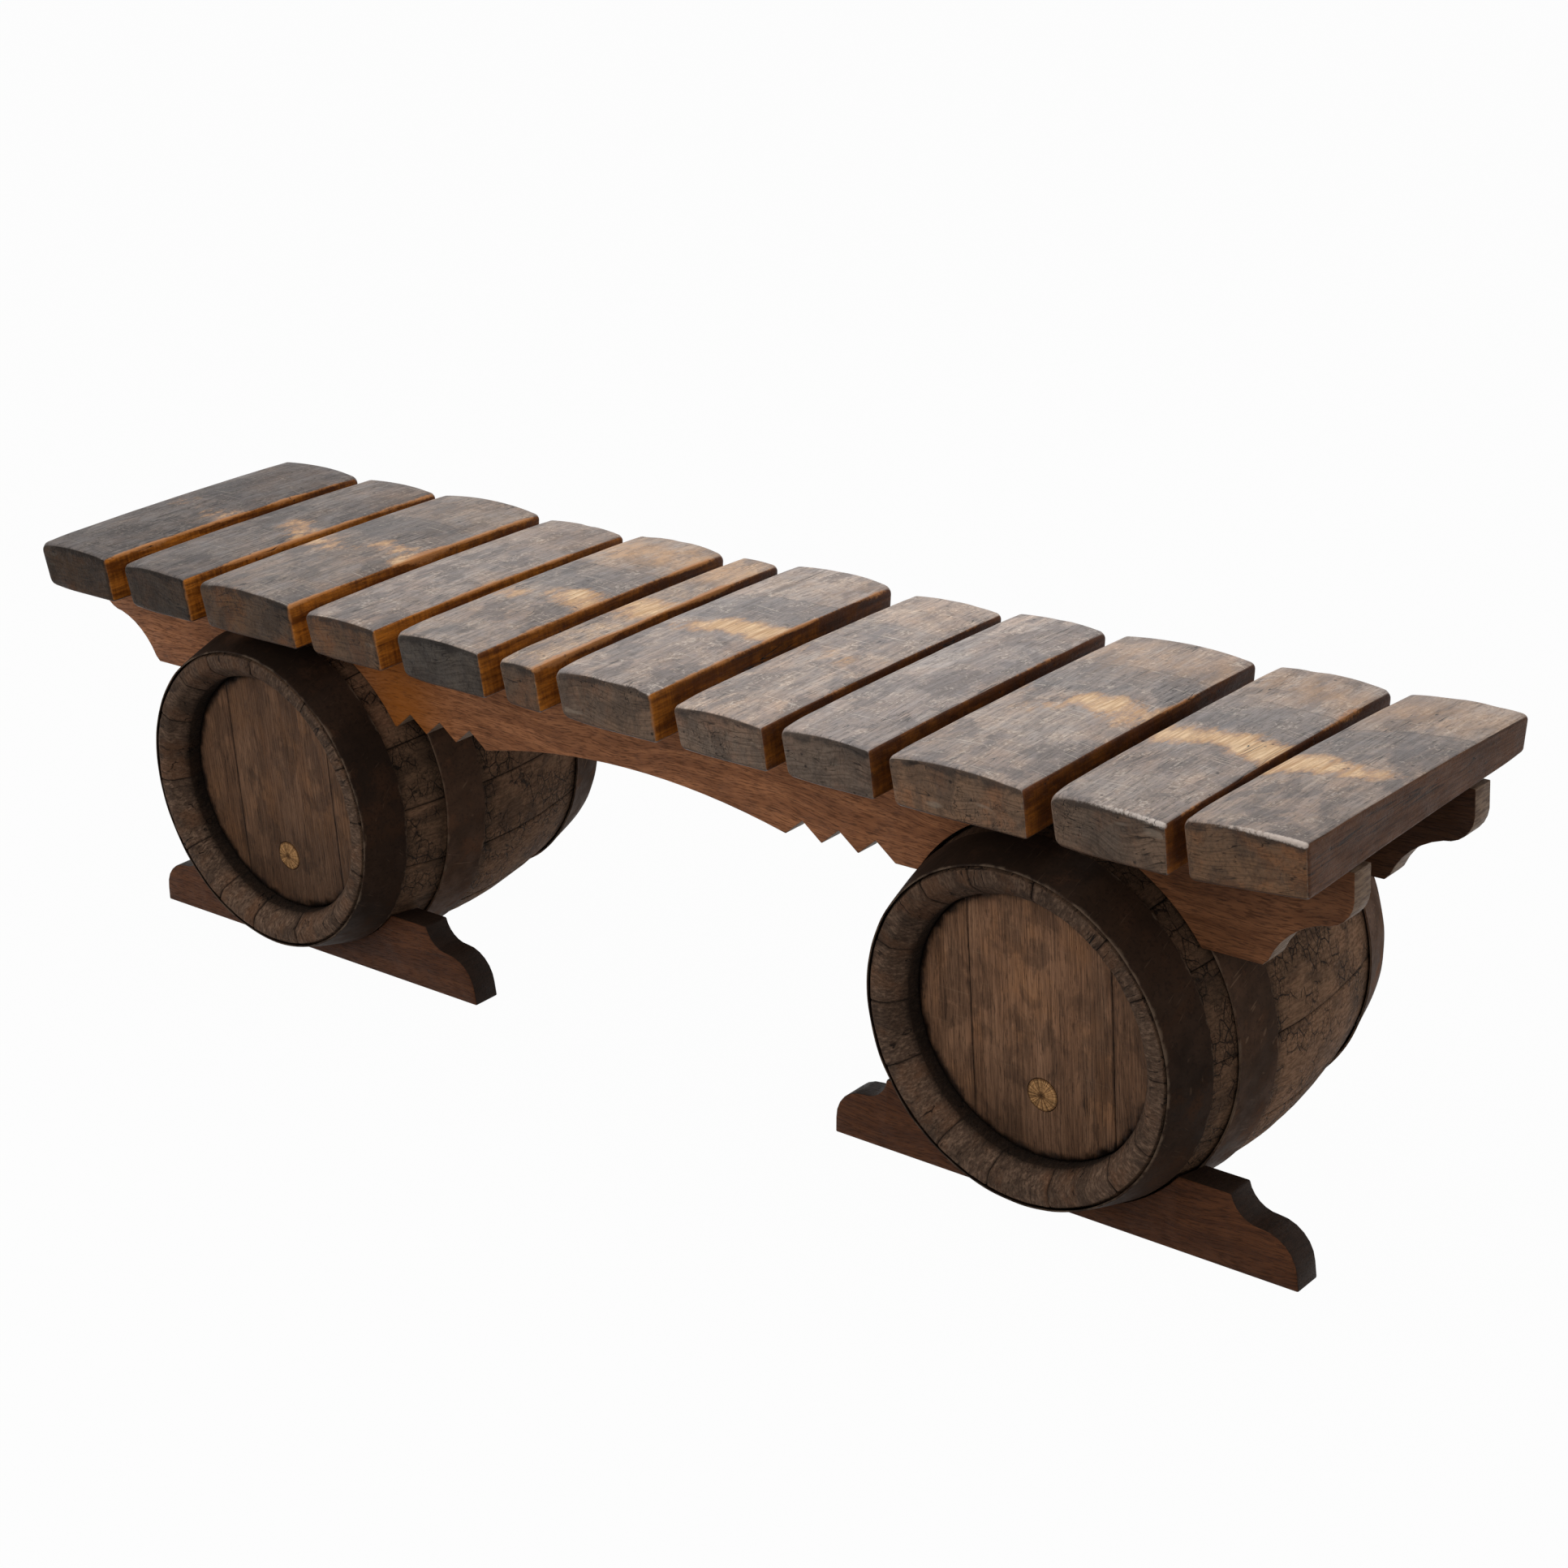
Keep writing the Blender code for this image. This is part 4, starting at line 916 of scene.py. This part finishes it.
def stave_section(side):
    """Section of a stave along the keg, as radius and depth."""
    front = chime_section(side)
    rear = [(radius, KEG_LENGTH - depth) for radius, depth in reversed(front)]
    lip, clear = front[-1]
    inner = []
    for step in range(1, 6):
        depth = clear + (KEG_LENGTH - 2 * clear) * step / 6
        inner.append((max(keg_radius(side, depth) - STAVE_THICKNESS, lip), depth))
    outer = []
    for step in range(1, 30):
        depth = KEG_LENGTH * step / 30
        outer.append((keg_radius(side, depth), depth))
    return front + inner + rear + outer[::-1]


def swept(points, start, angle, steps, closed=False):
    """A mesh swept around a keg from a section through points given as radius and depth."""
    bm = bmesh.new()
    corners = [bm.verts.new((radius, depth, 0.0)) for radius, depth in points]
    section = corners + [bm.edges.new(pair) for pair in zip(corners, corners[1:] + corners[:1])]
    bmesh.ops.transform(bm, matrix=Matrix.Rotation(-start, 4, "Y"), verts=bm.verts)
    bmesh.ops.spin(
        bm, geom=section, axis=(0.0, -1.0, 0.0), cent=(0.0, 0.0, 0.0), angle=angle, steps=steps,
        use_merge=closed,
    )
    return bm


def stave_widths(rhythm):
    """Angle of each stave around a keg, as in the part."""
    mean = 2 * math.pi / STAVE_COUNT
    waves = [math.sin(2 * math.pi * rhythm * number / STAVE_COUNT) for number in range(STAVE_COUNT)]
    return [mean * (1 + STAVE_VARIATION * wave) for wave in waves]


def hoop_rims(side):
    """Depths of the rims of the hoops from a keg's front."""
    rims = []
    for name in ("front_chime_hoop", "quarter_hoop", "rear_chime_hoop"):
        low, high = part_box(f"{side}_keg_{name}")
        rims += [low.y - keg_place(side).y, high.y - keg_place(side).y]
    return rims


def add_stave(side, number, start, width, material):
    """One stave, rounded off along its joints, rough at its ends."""
    place = keg_place(side)
    rims = hoop_rims(side)
    bm = swept(stave_section(side), start, width, STAVE_STEPS)
    bmesh.ops.holes_fill(bm, edges=bm.edges, sides=0)
    grain, grime_and_shade = new_layers(bm, "grain", "grime_and_shade")
    seed = Vector((number * 0.83, 0.0, number * 1.9 + (7.0 if side == "left" else 0.0)))
    lift = 0.0005 * noise.noise(seed * 3.1)
    jut = 0.0012 * noise.noise(seed * 5.3)
    for vert in bm.verts:
        radius = math.hypot(vert.co.x, vert.co.z)
        depth = vert.co.y
        turn = (math.atan2(vert.co.z, vert.co.x) - start) % (2 * math.pi)
        share = min(1.0, turn / width) if turn < math.pi + width / 2 else 0.0
        share = 0.5 - 0.5 * math.cos(math.pi * share)
        edge = min(share, 1 - share) * width * radius
        angle = start + share * width
        end_gap = min(depth, KEG_LENGTH - depth)
        skin = keg_radius(side, depth) - radius < STAVE_SKIN
        is_end = not skin and end_gap < CHIME_BEVEL_RUN + 0.001
        arc = (share - 0.5) * width * KEG_BILGE_RADIUS
        spot = Vector((arc, depth, radius)) + seed
        groove = nearness(edge, JOINT_REACH)
        # sunk is painted shade: partly grime next to the hoop rims, and darker towards the top on the strip
        # under the seat
        if skin:
            sunk = 0.75 * nearness(min(abs(depth - rim) for rim in rims), 0.010)
            if rims[1] < depth < rims[2]:
                sunk = max(sunk, STRIP_PAINTED_SHADE[side] + 0.20 * math.sin(angle))
        else:
            # painted shade, with soot, on the inner wall of the recess and the upper half of the chime
            sunk = min(1.0, max(0.14 + 0.18 * math.sin(angle), (end_gap - 0.013) / 0.012))
        end_share = 1.0 if not skin else nearness(end_gap, 0.0015)
        if skin:
            radius += lift - 0.0006 - JOINT_GROOVE * groove + 0.0006 * noise.noise(spot * 45)
        if is_end:
            inward = 1.0 if depth < KEG_LENGTH / 2 else -1.0
            rough = 0.0011 * noise.noise(spot * 70) + 0.0008 * noise.noise(spot * 190)
            depth += inward * (jut + 0.0008 + rough + JOINT_GROOVE * groove)
        vert[grain] = Vector((depth, arc, radius)) + seed
        vert[grime_and_shade] = (groove if skin or is_end else 0.0, sunk, end_share)
        vert.co = place + Vector((radius * math.cos(angle), depth, radius * math.sin(angle)))
    add_piece(f"{side}_keg_stave_{number:02d}", bm, material, 45.0)


def add_staves(side, material):
    """All the staves of one keg."""
    widths = stave_widths(STAVE_RHYTHM[side])
    seam = STAVE_SEAM / KEG_CHIME_RADIUS
    start = SEAM_ANGLE - widths[0] / 2
    for number, width in enumerate(widths):
        add_stave(side, number + 1, start + seam / 2, width - seam, material)
        start += width


def add_hoop(node, side, material, flare, level):
    """One hoop: a thin band that follows the slope of the wood, with uneven, rounded rims."""
    place = keg_place(side)
    low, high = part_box(node)
    first = low.y - place.y
    last = high.y - place.y
    steps = 8
    depths = [first + (last - first) * step / steps for step in range(steps + 1)]
    inner = []
    for depth in depths:
        stand_off = HOOP_GAP + flare * (1 - (depth - first) / (last - first)) ** 3
        inner.append((keg_radius(side, depth) + stand_off, depth))
    outer = [(radius + HOOP_THICKNESS, depth) for radius, depth in reversed(inner)]
    rim = HOOP_THICKNESS / 2
    outer[0] = (outer[0][0], outer[0][1] - rim * 0.6)
    outer[-1] = (outer[-1][0], outer[-1][1] + rim * 0.6)
    bm = swept(inner + outer, SEAM_ANGLE, 2 * math.pi, HOOP_STEPS, closed=True)
    bmesh.ops.remove_doubles(bm, verts=bm.verts, dist=0.00001)
    grain, wear = new_layers(bm, "grain", "wear")
    seed = Vector((place.x * 9, low.y * 31, 0.0))
    for vert in bm.verts:
        radius = math.hypot(vert.co.x, vert.co.z)
        depth = vert.co.y
        angle = math.atan2(vert.co.z, vert.co.x)
        round_place = Vector((math.cos(angle), math.sin(angle), depth * 4)) + seed
        rim_gap = min(depth - first, last - depth)
        depth += 0.0010 * noise.noise(round_place * 4) * nearness(rim_gap, 0.012)
        radius += 0.0004 * noise.noise(round_place * 7)
        vert[grain] = Vector((vert.co.x, depth, vert.co.z)) + seed
        # the level carries painted light as well as rust
        vert[wear] = (nearness(rim_gap, 0.0012), level, 0.0)
        vert.co = place + Vector((radius * math.cos(angle), depth, radius * math.sin(angle)))
    add_piece(node, bm, material, 50.0)


def add_head_board(node, side, number, material):
    """One board of a head, with softened joints and a face that isn't quite flat."""
    place = keg_place(side)
    bm = merged_copy(node)
    low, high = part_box(node)
    joints = [edge for edge in sharp_edges(bm, 60.0) if abs(edge.verts[0].co.x - edge.verts[1].co.x) < 0.0001]
    round_edges(bm, [edge for edge in joints if edge.calc_length() > 0.05], 0.0009, 2)
    slice_up(bm, Vector((0, 0, 1)), even_places(low.z, high.z, 30))
    slice_up(bm, Vector((1, 0, 0)), even_places(low.x, high.x, max(4, round((high.x - low.x) / 0.010))))
    slice_up(bm, Vector((1, 0, 0)), (low.x + 0.0025, high.x - 0.0025))
    grain, stains_and_shade = new_layers(bm, "grain", "stains_and_shade")
    seed = Vector((number * 1.7, number * 0.9, place.x))
    lip = HEAD_LIP_RADIUS + EXTRA_RADIUS[side]
    for vert in bm.verts:
        local = vert.co - place
        # the boards get darker towards the bottom
        sunk = max(0.0, 0.5 - local.z / (2 * lip))
        edge = min(vert.co.x - low.x, high.x - vert.co.x)
        vert[grain] = Vector((vert.co.z, vert.co.x, vert.co.y)) + seed
        # soot and painted shade near the rim, dark joints, and painted light
        vert[stains_and_shade] = (
            nearness(lip - math.hypot(local.x, local.z), 0.009),
            nearness(edge, 0.0012),
            HEAD_PAINTED_LIGHT[side] * (1.0 - 0.55 * sunk ** 1.5),
        )
    add_piece(node, bm, material)


def add_plug(side, material):
    """The plug in the tap hole, with a dry, slightly domed end."""
    node = f"{side}_keg_tap_plug"
    low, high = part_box(node)
    centre = (low + high) / 2
    radius = (high.x - low.x) / 2
    length = high.y - low.y
    bm = bmesh.new()
    matrix = Matrix.Rotation(math.pi / 2, 4, "X")
    bmesh.ops.create_cone(
        bm, cap_ends=True, segments=48, radius1=radius - 0.0015, radius2=radius, depth=length, matrix=matrix,
    )
    front = [face for face in bm.faces if face.normal.y < -0.9]
    for step in range(5):
        bmesh.ops.inset_region(bm, faces=front, thickness=radius * 0.17)
    grain, = new_layers(bm, "grain")
    for vert in bm.verts:
        reach = math.hypot(vert.co.x, vert.co.z)
        vert[grain] = Vector((vert.co.y, vert.co.x, vert.co.z))
        if vert.co.y < 0:
            spot = Vector((vert.co.x, vert.co.z, PLUG_SEED[side]))
            vert.co.y += 0.0016 * (reach / radius) ** 2 - 0.0004 + 0.0008 * noise.noise(spot * 160)
        wobble = 1 - 0.03 * (1 + noise.noise(Vector((vert.co.x, vert.co.z, 0.0)) * 90))
        vert.co.x *= wobble
        vert.co.z *= wobble
        vert.co += centre
    add_piece(node, bm, material)


def add_keg(side, finishes):
    """One keg: staves, hoops, heads and plug."""
    front, quarter, rear = HOOP_RUST_AND_LIGHT[side]
    add_staves(side, finishes["stave"])
    add_hoop(f"{side}_keg_front_chime_hoop", side, finishes["hoop"], 0.0, front)
    add_hoop(f"{side}_keg_quarter_hoop", side, finishes["hoop"], 0.0016, quarter)
    add_hoop(f"{side}_keg_rear_chime_hoop", side, finishes["hoop"], 0.0012, rear)
    for number in (1, 2, 3):
        add_head_board(f"{side}_keg_head_board_{number}", side, number, finishes["head"])
    add_head_board(f"{side}_keg_rear_head", side, 4, finishes["head"])
    add_plug(side, finishes["plug"])


# Stage

def seen_directly(tree):
    """1 for rays from the camera or off gloss and glass, else 0."""
    path = add(tree, "ShaderNodeLightPath").outputs
    seen = reckon(tree, "MAXIMUM", path["Is Camera Ray"], path["Is Glossy Ray"])
    return reckon(tree, "MAXIMUM", seen, path["Is Transmission Ray"])


def add_floor():
    """A plain white floor that keeps a faint shadow."""
    bm = bmesh.new()
    bmesh.ops.create_grid(bm, x_segments=1, y_segments=1, size=30.0)
    mesh = bpy.data.meshes.new("studio_floor")
    bm.to_mesh(mesh)
    bm.free()
    material = bpy.data.materials.new("studio_floor")
    material.use_nodes = True
    tree = material.node_tree
    tree.nodes.clear()
    paint = add(tree, "ShaderNodeBsdfDiffuse", {"Color": (0.30, 0.30, 0.30, 1.0)}).outputs[0]
    glow = add(tree, "ShaderNodeEmission", {"Color": (1.0, 1.0, 1.0, 1.0), "Strength": 1.0}).outputs[0]
    share = times(tree, seen_directly(tree), 0.975)
    surface = add(tree, "ShaderNodeMixShader", {0: share, 1: paint, 2: glow}).outputs[0]
    add(tree, "ShaderNodeOutputMaterial", {"Surface": surface})
    mesh.materials.append(material)
    floor = bpy.data.objects.new("studio_floor", mesh)
    bpy.context.scene.collection.objects.link(floor)


def add_world(strength):
    """Even white surroundings, which look white from the camera."""
    world = bpy.data.worlds.new("studio")
    bpy.context.scene.world = world
    world.use_nodes = True
    tree = world.node_tree
    tree.nodes.clear()
    level = eased(tree, seen_directly(tree), 0.0, 1.0, strength, 1.0)
    background = add(tree, "ShaderNodeBackground", {"Color": (1.0, 1.0, 1.0, 1.0), "Strength": level})
    add(tree, "ShaderNodeOutputWorld", {"Surface": background.outputs[0]})


def add_softbox(name, place, target, size, power):
    """A square soft light that looks at a place."""
    lamp = bpy.data.lights.new(name, "AREA")
    lamp.size = size
    lamp.energy = power
    item = bpy.data.objects.new(name, lamp)
    item.location = place
    item.rotation_euler = (Vector(target) - Vector(place)).to_track_quat("-Z", "Y").to_euler()
    bpy.context.scene.collection.objects.link(item)


def add_camera():
    """The photograph's camera."""
    view = Vector((
        -math.sin(CAMERA_AZIMUTH) * math.cos(CAMERA_ELEVATION),
        math.cos(CAMERA_AZIMUTH) * math.cos(CAMERA_ELEVATION),
        -math.sin(CAMERA_ELEVATION),
    ))
    level = view.cross(Vector((0, 0, 1))).normalized()
    upright = level.cross(view)
    roll = math.asin(math.sin(CAMERA_TILT) / upright.z)
    right = math.cos(roll) * level + math.sin(roll) * upright
    axes = Matrix((right, right.cross(view), -view)).transposed()
    lens = bpy.data.cameras.new("camera")
    lens.sensor_width = 36.0
    lens.lens = CAMERA_LENS
    camera = bpy.data.objects.new("camera", lens)
    camera.matrix_world = Matrix.Translation(CAMERA_PLACE) @ axes.to_4x4()
    bpy.context.scene.collection.objects.link(camera)
    bpy.context.scene.camera = camera


def main():
    plank_finish = make_plank_finish()
    rail_finish = make_board_finish(
        "rail_oak", 0.12, shade(172, 114, 76), shade(142, 91, 59), shade(66, 37, 22),
        shade(150, 126, 104), shade(92, 72, 58),
    )
    foot_finish = make_board_finish(
        "foot_oak", 0.08, shade(104, 64, 40), shade(84, 50, 31), shade(44, 26, 17),
        shade(48, 34, 26), shade(35, 25, 19),
    )
    keg_finishes = {
        "stave": make_stave_finish(), "head": make_head_finish(),
        "hoop": make_hoop_finish(), "plug": make_plug_finish(),
    }
    for number in range(1, PLANK_COUNT + 1):
        add_plank(number, plank_finish)
    add_board("front_rail", rail_finish, 0.0014, 0.0)
    add_board("rear_rail", rail_finish, 0.0014, 3.3)
    add_board("left_foot", foot_finish, 0.0018, 6.1)
    add_board("right_foot", foot_finish, 0.0018, 9.7)
    for side in ("left", "right"):
        add_keg(side, keg_finishes)
    add_floor()
    add_world(0.38)
    add_softbox("overhead_softbox", (-0.3, 0.3, 2.9), (0.0, 0.0, 0.4), 3.0, 38.0)
    add_softbox("front_softbox", (-1.1, -2.8, 1.9), (0.0, 0.0, 0.3), 1.8, 28.0)
    add_softbox("side_softbox", (3.0, -1.2, 1.6), (0.0, 0.0, 0.3), 1.8, 15.0)
    add_camera()
    bpy.context.scene.view_settings.view_transform = "Standard"
    bpy.context.view_layer.update()


main()
